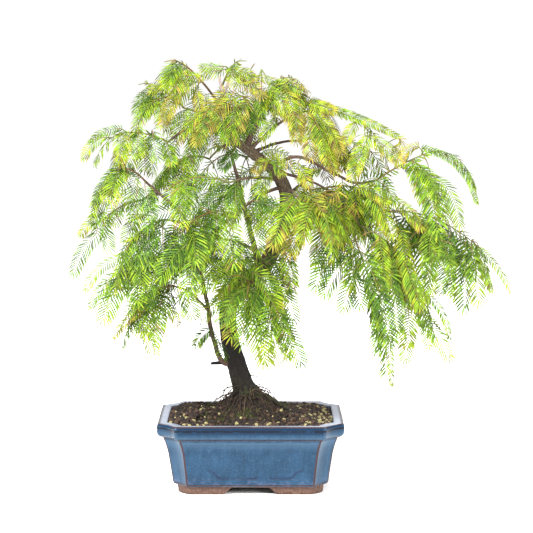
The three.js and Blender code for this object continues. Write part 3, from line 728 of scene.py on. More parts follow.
def glaze_marks(mesh):
    """Where the glaze breaks on edges, pools and is paler in bands below the rim; where painted light and a
    painted reflection make the scoops, the rim's corners and the rim's top pale; and where painted shade
    darkens the panel's lower line and the clay under the pot.
    """
    x, y, z = (np.array([v.co for v in mesh.vertices]) / MM - np.array(PLACE)).T
    long = on_long_wall(x, y, z)
    gaps = near_panel(x[long], z[long])[0]
    line = np.zeros(len(z))
    # The dark line along the panel's bead is partly darker glaze and partly painted shade: it is strongest
    # along the lower edge, under the raised panel.
    strong = np.interp(z[long], [23, 27, 31, 36, 48, 54], [1, 0.9, 0.4, 0.12, 0.12, 0.4])
    line[long] = band(gaps, 0, 1.05) * strong
    x, y = np.abs(x), np.abs(y)
    inset = np.interp(z, *np.array(WALL_CURVE + RIM_CURVE).T)
    hx, hy = POT_HALF[0] - inset, POT_HALF[1] - inset
    cx, cy = SCOOP[0] - SCOOP_SHRINK * inset, SCOOP[1] - SCOOP_SHRINK * inset
    corner = np.minimum(np.hypot(x - hx + cx, y - hy), np.hypot(x - hx, y - hy + cy))
    slant = ((x - hx + cx) * cy + (y - hy + cy) * cx - cx * cy) / np.hypot(cx, cy)
    out = np.maximum.reduce([x - hx, y - hy, slant])
    upright = band(corner, 0, 1.7) * (z > 10) * (z < 66)
    rim_edge = band(z, 81.3, 0.7) * (out > -5)
    edge = np.maximum.reduce([upright, rim_edge, band(z, 66.2, 0.95) * 0.9, band(z, 11.8, 1) * 0.75])
    pool = np.clip(1.6 * band(z, 77, 1.2), 0, 1) + 0.5 * band(z, 63.8, 0.8)
    # Paler in two bands below the rim, and a painted highlight on the rim's corners.
    fall = band(z, 69, 1.2) + 0.7 * band(z, 62, 1.4) + band(corner, 0, 2.2) * (z > 66) * (z < 81)
    scooped = slant >= np.maximum(x - hx, y - hy)
    # Painted light and reflection: the scooped faces, lit from the sides, are painted paler than the flat
    # walls.
    fall = np.maximum(fall, scooped * np.where(z < 64, (z > 13) * 0.62, (z > 67) * (z < 79) * 0.5))
    # Painted reflection: the rim's flat top is painted pale as it reflects the white sky; the top of the
    # inner wall takes 0.4 of that pale tone.
    table = np.clip((z - 81.4) / 0.3, 0, 1) * np.clip((-3.2 - out) / 1.2, 0, 1)
    table = np.maximum(table, ((out < -9) & (z > 60)) * 0.4)
    # under: where the clay under the pot is painted almost black as shade.
    under = (z < 12) & (out < -10)
    point_values(mesh, edge=edge, pool=pool, fall=np.clip(fall, 0, 1), table=table, line=line, under=under)


ARCHES = [(21, "y"), (15, "x")]  # half the width of an arch between the feet, and the way it runs
ARCH_RISE, ARCH_SLOPE = 8.5, 10
DRAIN_RADIUS, DRAIN_PLACE = 8, 38


def make_pot():
    bm = skin([pot_ring(*level) for level in wall_levels()])
    shape_walls(bm)
    pot = piece("glazed_pot", finish_bmesh(bm, "glazed_pot"), [], "glaze", "pot")
    cutters = []
    for top, along in ARCHES:
        low = top + ARCH_SLOPE
        outline = [(-low, -1), (low, -1), (low, 0), (top, ARCH_RISE), (-top, ARCH_RISE), (-low, 0)]
        cutters.append(prism(outline, 400, along))
    for side in (-1, 1):
        drain = bmesh.new()
        size = {"radius1": DRAIN_RADIUS, "radius2": DRAIN_RADIUS, "depth": 60}
        bmesh.ops.create_cone(drain, cap_ends=True, segments=24, **size)
        bmesh.ops.translate(drain, verts=drain.verts, vec=(side * DRAIN_PLACE, 0, 0))
        cutters.append(drain)
    cut(pot, cutters)
    glaze_marks(pot.data)
    pot.data.materials.append(glaze())


# ------------------------------------------------------------------ the soil

SOIL_PAD = (21, 103)  # radius and height of the flat place under the trunk
SOIL_LEVEL = 78
SOIL_EDGE = (SOIL_LEVEL, 12.3, 2.4)  # the level where it meets the pot
SOIL_BELOW = [(60, 16.2, 1.6), (70, 13, 2.2)]
SOIL_STEPS, SOIL_ROWS = (60, 44, 6), 40
EDGE_X, EDGE_Y = POT_HALF[0] - SOIL_EDGE[1], POT_HALF[1] - SOIL_EDGE[1]
SUNK = [(-36, 15, 4.5), (34, 12, 2.6)]  # hollows across the mound: where, how wide and how deep
FOOT = Vector(TRUNK[0][:3])


def mound_height(u):
    """The soil's height, at a share of the way from the pot's wall to the flat place."""
    return SOIL_LEVEL + (SOIL_PAD[1] - SOIL_LEVEL) * (0.4 * u + 0.6 * u**2.4)


def lumps(x, y):
    """How far the soil lies over the plain mound: hollows, clods and crumbs."""
    sunk = sum(deep * math.exp(-(((x - at) / wide) ** 2)) for at, wide, deep in SUNK)
    return -sunk + noise.noise(Vector((x, y, 3)) / 11) * 1.6 + noise.noise(Vector((x, y, 9)) / 4) * 1.1


def soil_rows():
    """Rings of points from under the rim up the mound to the trunk's foot."""
    rows = [pot_ring(*level, SOIL_STEPS) for level in SOIL_BELOW]
    edge = pot_ring(*SOIL_EDGE, SOIL_STEPS)
    for k in range(SOIL_ROWS + 1):
        u = k / SOIL_ROWS
        climb = min(u / 0.95, 1)
        ring = []
        for x, y, _ in edge:
            out = Vector((x - FOOT.x, y - FOOT.y, 0)).normalized()
            pad = FOOT + out * (SOIL_PAD[0] * (1 - 0.6 * smoothstep(0.9, 1, u)))
            x, y = mix(x, pad.x, climb), mix(y, pad.y, climb)
            ring.append((x, y, mound_height(climb) + lumps(x, y) * smoothstep(0, 0.08, u)))
        rows.append(ring)
    return rows


def make_soil():
    piece("humus_mound", finish_bmesh(skin(soil_rows()), "humus_mound"), [humus()], "soil", "soil")


def on_mound(x, y):
    """The height of the mound over a point, and how far that point is from the wall to the trunk's foot."""
    dx, dy = x - FOOT.x, y - FOOT.y
    away = math.hypot(dx, dy)
    reach = min((EDGE_X - math.copysign(FOOT.x, dx)) / max(abs(dx), 1e-6), EDGE_Y / max(abs(dy), 1e-6)) * away
    u = min(max((reach - away) / max(reach - SOIL_PAD[0], 1e-6), 0), 1)
    return mound_height(u) + lumps(x, y), u


def beyond(x, y, reach):
    """Whether a point lies outside a reach, given along x, along y and across a corner."""
    return abs(x) > reach[0] or abs(y) > reach[1] or abs(x) / EDGE_X + abs(y) / EDGE_Y > reach[2]


def granule_shape():
    """The points and faces of a grain: a cube of eight quads a side, drawn in to a pebble."""
    bm = bmesh.new()
    bmesh.ops.create_cube(bm, size=1)
    bmesh.ops.subdivide_edges(bm, edges=bm.edges, cuts=1, use_grid_fill=True)
    for v in bm.verts:
        v.co = v.co.lerp(v.co.normalized() * 0.58, 0.72)
    bm.verts.index_update()
    points = np.array([v.co for v in bm.verts])
    quads = np.array([[v.index for v in f.verts] for f in bm.faces])
    bm.free()
    return points, quads


GRAINS = [  # name, dark, light and size of the speckle
    ("dark_clay", (12, 9, 8), (46, 34, 28), 1.2),
    ("burnt_clay", (30, 21, 16), (84, 62, 46), 1.2),
    ("pumice", (78, 71, 46), (168, 158, 110), 1.3),
]
GRAIN_PITCH, GRAIN_ROWS = 3.5, (29, 23)
GRAIN_REACH = (91.5, 67, 1.73)


def make_granules():
    """Burnt clay and pumice grains, laid over the soil and thickest by the wall."""
    shape, quads = granule_shape()
    points, faces, finishes = [], [], []
    columns, rows = GRAIN_ROWS
    for i in range(-columns, columns + 1):
        for j in range(-rows, rows + 1):
            x = (i + 0.5 * (j % 2) + spread(-0.4, 0.4, 61, i, j)) * GRAIN_PITCH
            y = (j * 0.87 + spread(-0.4, 0.4, 62, i, j)) * GRAIN_PITCH
            z, u = on_mound(x, y)
            bare = smoothstep(0.3, 0.75, u + noise.noise(Vector((x, y, 5)) / 16) * 0.35)
            if beyond(x, y, GRAIN_REACH) or chance(63, i, j) < bare * 0.72 + 0.05:
                continue
            size = spread(2.1, 4.9, 64, i, j) * (1 - 0.42 * bare)
            turn = Quaternion([spread(-1, 1, 65 + a, i, j) for a in range(3)] + [0.3])
            stretch = np.array([spread(0.8, 1.25, 68 + a, i, j) for a in range(3)])
            jag = np.array([[spread(0.86, 1.14, 71, i, j, v)] for v in range(len(shape))])
            pebble = (shape * stretch * jag) @ np.array(turn.normalized().to_matrix()).T * size
            faces.append(quads + len(points) * len(shape))
            points.append(pebble + (x, y, z + spread(0, 1.5, 72, i, j)))
            pale = 0.05 + 0.26 * smoothstep(0.12, 0, u) + 0.04 * (y < 0) + 0.1 * smoothstep(25, 75, x)
            pick = chance(73, i, j)
            finishes += [2 if pick < pale else 1 if pick < pale + 0.3 else 0] * len(quads)
    mesh = mesh_of("soil_granules", np.concatenate(points), [np.concatenate(faces)], finishes)
    piece("soil_granules", mesh, [grain(*kind) for kind in GRAINS], "soil")


# Where moss grows: x, y and radius of each patch.
MOSS_PATCHES = [
    (-36, -46, 24), (-4, -44, 16), (14, -4, 20), (34, 14, 14), (-40, 26, 20), (4, 46, 22), (60, -30, 8),
]


MOSS_TINTS = [((20, 25, 8), (54, 62, 22)), ((42, 50, 15), (96, 105, 40)), ((22, 18, 11), (54, 46, 28))]
MOSS_SHOOTS = 12000
MOSS_REACH = (88, 64, 1.6)


def make_moss():
    """Short upright shoots of moss in patches, each a three-sided blade that leans."""
    points, sides, tips, finishes = [], [], [], []
    round_stem = [(math.cos(a), math.sin(a)) for a in (0, 2.1, 4.2)]
    ring = [(0, 1), (1, 2), (2, 0)]
    for k in range(MOSS_SHOOTS):
        px, py, radius = MOSS_PATCHES[k % len(MOSS_PATCHES)]
        away, angle = radius * chance(80, k) ** 0.6, 2 * math.pi * chance(81, k)
        x, y = px + away * math.cos(angle) * 1.2, py + away * math.sin(angle)
        thick = 0.5 - 0.6 * (away / radius) ** 2 + noise.noise(Vector((x, y, 21)) / 8) * 1.1
        if beyond(x, y, MOSS_REACH) or chance(82, k) > smoothstep(0, 0.6, thick) * 0.8:
            continue
        z = on_mound(x, y)[0]
        tall, wide = spread(1.0, 2.8, 83, k), spread(0.3, 0.55, 84, k)
        lean_x, lean_y = spread(-1, 1, 85, k), spread(-1, 1, 86, k)
        first = len(points)
        for lean, girth, rise in ((0, 1, -0.4), (0.5, 0.9, tall * 0.55)):
            at = x + lean_x * lean, y + lean_y * lean, z + rise
            points += [(at[0] + c * wide * girth, at[1] + s * wide * girth, at[2]) for c, s in round_stem]
        points.append((x + lean_x * 1.4, y + lean_y * 1.4, z + tall))
        sides += [(first + a, first + b, first + 3 + b, first + 3 + a) for a, b in ring]
        tips += [(first + 3 + a, first + 3 + b, first + 6) for a, b in ring]
        finishes += [int(chance(87, k) * 3)] * 3
    mesh = mesh_of("moss", points, [np.array(sides), np.array(tips)], finishes * 2)
    piece("moss", mesh, [grain(f"moss_{k}", *pair, 2.5) for k, pair in enumerate(MOSS_TINTS)], "soil")


# The thickest roots of the flare, from where they leave it down to the soil.
FLARE_ROOTS = [
    [(-19, -9, 121), (-25, -10, 119.4), (-32, -10, 118), (-38, -9, 114), (-41, -9, 110.9)],
    [(-2, -9, 128), (3, -10, 128.2), (8, -10, 126), (16, -10, 120.3), (24, -9, 106)],
    [(-22, -8, 109), (-32, -9, 104.5), (-38, -9, 101.6), (-42, -8, 98)],
    [(-10, -12, 116), (-16, -16, 117), (-24, -20, 112), (-30, -22, 103)],
    [(2, -11, 112), (8, -14, 113), (16, -16, 108), (22, -18, 101)],
]
FINE_ROOTS, LOOSE_ROOTS = 80, 760
LITTER_REACH = (86, 62, 2)


def flare_roots():
    """Paths of the roots that come away from the flare and bend down to the soil."""
    paths = list(FLARE_ROOTS)
    for k in range(FINE_ROOTS):
        angle = 2 * math.pi * (k + spread(-0.4, 0.4, 90, k)) / FINE_ROOTS
        out = Vector((math.cos(angle), math.sin(angle), 0))
        high, far = spread(101, 114, 91, k), spread(8, 30, 92, k)
        start = FOOT + out * spread(8, 12, 93, k)
        end = FOOT + out * (16 + far) + Vector((spread(-7, 7, 94, k), spread(-7, 7, 95, k), 0))
        middle = start.lerp(end, 0.5) + Vector((spread(-3, 3, 96, k), spread(-3, 3, 97, k), 0))
        middle.z = max(high + spread(-4, 2, 98, k), on_mound(middle.x, middle.y)[0] + 1.5)
        paths.append([(start.x, start.y, high), tuple(middle), (end.x, end.y, on_mound(end.x, end.y)[0])])
    return paths


def loose_roots():
    """Paths of the bits of root that lie about on the mound."""
    paths = []
    for k in range(LOOSE_ROOTS):
        away, angle = 14 + 50 * chance(100, k) ** 0.9, 2 * math.pi * chance(101, k)
        x, y = FOOT.x + away * math.cos(angle) * 1.2, FOOT.y + away * math.sin(angle) * 0.85
        if beyond(x, y, LITTER_REACH):
            continue
        way, bend, length = 2 * math.pi * chance(102, k), spread(-0.9, 0.9, 103, k), spread(5, 17, 104, k)
        path = []
        for i in range(4):
            path.append((x, y, on_mound(x, y)[0] + spread(0.2, 1.6, 105, k, i)))
            x, y = x + math.cos(way) * length / 3, y + math.sin(way) * length / 3
            way += bend
        paths.append(path)
    return paths


def make_thin_roots(name, paths, steps, widths, finishes):
    """Thin roots along their paths, each in the dark or the dry finish."""
    tubes, tints = Tubes(4), []
    for k, path in enumerate(paths):
        width = spread(*widths, 99, k)
        radii = [width * (1 - 0.36 * i / steps) for i in range(steps + 1)]
        tubes.add(frames_along(Spline(path), steps), radii)
        tints.append(int(chance(106, k) < 0.3))
    mesh = tubes.mesh(name)
    of_faces = np.concatenate([np.repeat(tints, 4 * steps), np.repeat(tints, 2)])
    mesh.polygons.foreach_set("material_index", of_faces)
    piece(name, mesh, finishes, "bark")


def make_roots():
    dark = grain("dark_root", (18, 14, 11), (56, 42, 33), 3)
    finishes = [dark, grain("dry_root", (42, 31, 22), (94, 75, 53), 3)]
    make_thin_roots("hair_roots", flare_roots(), 10, (0.46, 0.72), finishes)
    make_thin_roots("root_litter", loose_roots(), 6, (0.2, 0.42), finishes)


# ------------------------------------------------------------------ trunk and boughs

TRUNK_CURVE = Spline(TRUNK)
TRUNK_STEPS, TRUNK_SIDES = 300, 84
FLARE_LOBES, FLARE_DEPTH, FLARE_FADE = 5, 0.16, 14
COLLAR_NEAR, COLLAR_SPREAD, COLLAR_RISE = 24, 1.6, 0.4  # the last two per millimetre of the bough's radius


def trunk_radius(u):
    """The trunk's radius at a share of its length."""
    at = min(u * (len(TRUNK) - 1), len(TRUNK) - 1.001)
    i = int(at)
    return mix(TRUNK[i][3], TRUNK[i + 1][3], at - i)


def tapered(root, tip):
    return lambda u: mix(root, tip, u)


def bark_relief(angle, length, radius, seed=5):
    """Two heights of bark: of its strips, which run along the limb, and of its fine grain."""
    c, s = math.cos(angle) * radius, math.sin(angle) * radius
    wind = noise.noise(Vector((c / 9, s / 9, length / 30 + seed))) * 1.2
    strip = noise.noise(Vector((c / 2.2 + wind, s / 2.2 - wind, length / 26 + seed)))
    fine = noise.noise(Vector((c / 0.9, s / 0.9, length / 9 + seed)))
    return -abs(strip), fine


class Limb:
    """A limb's curve and its radius along it."""

    def __init__(self, curve, radius):
        self.curve, self.radius = curve, radius


def grow_limbs():
    limbs = {"trunk": Limb(TRUNK_CURVE, trunk_radius)}
    for row in BOUGHS:
        name, parent, share, tip, via, radii = row[:6]
        if tip:
            start, end = limbs[parent].curve(share), Vector(tip)
            curve = Spline([start, *via, end]) if isinstance(via, list) else Bow(start, end, via)
            limbs[name] = Limb(curve, tapered(*radii))
    return limbs


def make_trunk(limbs):
    """The trunk with its strips of bark, its flare and a collar where each bough leaves it."""
    frames = frames_along(TRUNK_CURVE, TRUNK_STEPS)
    frames[0] = Frame(frames[0].p, UP, frames[1].s)
    collars = []
    for name, parent, _, tip, _, radii, *_ in BOUGHS:
        if parent == "trunk" and tip:
            curve = limbs[name].curve
            collars.append((curve(0), tangent(curve, 0.02), radii[0]))
    rows, furrows, length = [], [], 0
    for k, f in enumerate(frames):
        length += (f.p - frames[k - 1].p).length if k else 0
        u = k / TRUNK_STEPS
        base = trunk_radius(u) * (1 + 0.05 * noise.noise(f.p / 18))
        flare = FLARE_DEPTH * math.exp(-FLARE_FADE * u)
        near = [c for c in collars if (c[0] - f.p).length < COLLAR_NEAR]
        ring, marks = [], []
        for j in range(TRUNK_SIDES):
            angle = 2 * math.pi * j / TRUNK_SIDES
            r = base * (1 + flare * math.cos(FLARE_LOBES * angle))
            strip, fine = bark_relief(angle, length, r)
            out = f.s * math.cos(angle) + f.n * math.sin(angle)
            for root, way, girth in near:
                gap = (f.p + out * r - root - way * r).length / (girth * COLLAR_SPREAD)
                r += girth * COLLAR_RISE * math.exp(-gap * gap)
            r += (0.35 + 0.09 * base) * (strip * 1.3 + 0.25) + fine * 0.25
            r += noise.noise((f.p + out * r) / 7) * 0.5
            ring.append(tuple(f.p + out * r))
            marks.append(smoothstep(-0.13, -0.02, strip))
        rows.append(ring)
        furrows.append(marks)
    bark = trunk_bark()
    piece("trunk_bark", finish_bmesh(skin(rows, furrow=furrows), "trunk_bark"), [bark], "bark", "trunk")
    make_stubs(bark)


def rough_tube(tubes, frames, radii, seed, depth=0.12):
    """Adds a stem whose bark runs along it in fine strips."""
    length, relief, sides = 0, [], len(tubes.round)
    for k, (f, r) in enumerate(zip(frames, radii)):
        length += (f.p - frames[k - 1].p).length if k else 0
        strips = [bark_relief(2 * math.pi * j / sides, length, r + 0.5, seed) for j in range(sides)]
        relief.append([r * depth * (1.6 * a + 0.3 + 0.5 * b) for a, b in strips])
    tubes.add(frames, radii, np.array(relief))


def tapers(root, tip, steps):
    """Radii from root to tip in equal steps."""
    return [mix(root, tip, k / steps) for k in range(steps + 1)]


SURFACE_ROOT_END = (92, -46)
SURFACE_ROOT_REACH = 0.42  # how far it gets on its way from the trunk's foot to the wall
SURFACE_ROOT_STEPS, STUB_STEPS, TIP_STEPS = 60, 14, 22
DEAD_TIPS = [(-35.8, 13), (-23.3, 14)]  # where each points along x, and its seed


def surface_root():
    """The path of the root that runs out over the mound and dips into it."""
    wall = Vector((*SURFACE_ROOT_END, FOOT.z))
    pad = FOOT + (wall - FOOT).normalized() * SOIL_PAD[0]
    points = [FOOT.lerp(pad, 0.4) + UP * 2.4]
    for k in range(5):
        u = k / 4
        p = pad.lerp(wall, SURFACE_ROOT_REACH * u)
        p.x += 5 * math.sin(math.pi * u)
        p.z = mound_height(1 - SURFACE_ROOT_REACH * u) + mix(2.4, -1.4, u)
        points.append(p)
    return Spline(points)


def make_stubs(bark):
    """The root on the mound, the broken stub at the left elbow and two dead tips at the top."""
    tubes = Tubes(16)
    frames = frames_along(surface_root(), SURFACE_ROOT_STEPS)
    radii = tapers(3.4, 1.5, SURFACE_ROOT_STEPS)
    rough_tube(tubes, frames, [r * (1 + 0.1 * noise.noise(f.p / 5)) for r, f in zip(radii, frames)], 11)
    frames = frames_drooping(Vector((-31, -8, 143)), Vector((-1, -0.15, -0.06)), UP, 15, 0, STUB_STEPS)
    rough_tube(tubes, frames, tapers(2.4, 1.6, STUB_STEPS), 12, 0.2)
    for x, seed in DEAD_TIPS:
        frames = frames_along(Bow(Vector((-31.2, 3, 448)), Vector((x, 3, 469.5)), -1.5), TIP_STEPS)
        rough_tube(tubes, frames, tapers(1.9, 1.2, TIP_STEPS), seed, 0.2)
    piece("root_and_stubs", tubes.mesh("root_and_stubs"), [bark], "bark")


STRAY_SHIFTS = (0, 31.3, 62.7)  # how far apart in the noise a curve's x, y and z stray by


def wavering(curve, size, seed):
    """A curve that strays a little from another one, the same way each run, but keeps its ends."""
    def at(u):
        p = curve(u)
        stray = Vector([noise.noise(p / 14 + Vector((seed, 0, shift))) for shift in STRAY_SHIFTS])
        return p + stray * (size * math.sin(math.pi * u))
    return at


def make_boughs(limbs):
    """Every bough, thickened where it leaves its parent."""
    tubes, names = Tubes(12), []
    for seed, (name, limb) in enumerate(limbs.items()):
        if name == "trunk":
            continue
        names.append(f"bough_{name}")
        steps = int((limb.curve(1) - limb.curve(0)).length / 2.2)
        frames = frames_along(wavering(limb.curve, 1.0, seed), steps)
        slim = 0.78 if limb.radius(0) < 3 else 1
        radii = []
        for k, f in enumerate(frames):
            collar = 1 + 0.35 * math.exp(-max((f.p - frames[0].p).length - 8, 0) / 4)
            knots = 1 + 0.1 * noise.noise(f.p / 4)
            radii.append(limb.radius(k / steps) * collar * knots * slim)
        rough_tube(tubes, frames, radii, seed)
    piece("boughs", tubes.mesh("boughs"), [bough_bark()], "bark", *names)


# ------------------------------------------------------------------ foliage

EYE = Vector((18, -2047, 480.9))  # where the plant is looked at from
PITCH = 11  # a shoot's step
SWELL = (0.3, 0.8)  # the part of a half wave that the needles' lengths follow along a spray
LEAN = (0.6, 1.1)  # how far a needle leans forward per millimetre outwards, at a spray's foot and tip
DIP = 0.1  # how far a needle hangs per millimetre outwards
TURN, ROLL, PULL = (0.75, 1.1), (-0.6, 0.6), (0.75, 1.25)  # how a shoot leaves its parent and turns down
BARE = 3  # steps of a forked shoot's twig without needles
FOLD = (0.1, 0.55)  # how far both rows of a spray fold down along the rib
NEEDLE_PITCH, NEEDLE_HALF, NEEDLE_RIDGE = 0.24, 0.052, 0.22  # the first two per millimetre of its length
RIGHT_WIDER = 1.14  # how much wider the needles of the right side are
FILL = {"left": 0.42, "top": 0.6, "right": 0.42, "middle": 0.3, "back": 1}  # how dense each region is
REGIONS = {
    "left": "left", "side": "left", "top": "top", "apex": "top", "fork": "top", "right": "right",
    "low": "middle", "back": "back",
}

# From dark green to dry, in the order in which a spray ripens.
TINTS = [
    (56, 84, 22), (83, 113, 26), (108, 133, 28), (122, 134, 30), (128, 117, 43),
    (122, 103, 53), (102, 83, 46),
]
GREENS = 5  # how many of them a spray takes by its ripeness; single dry needles take the others

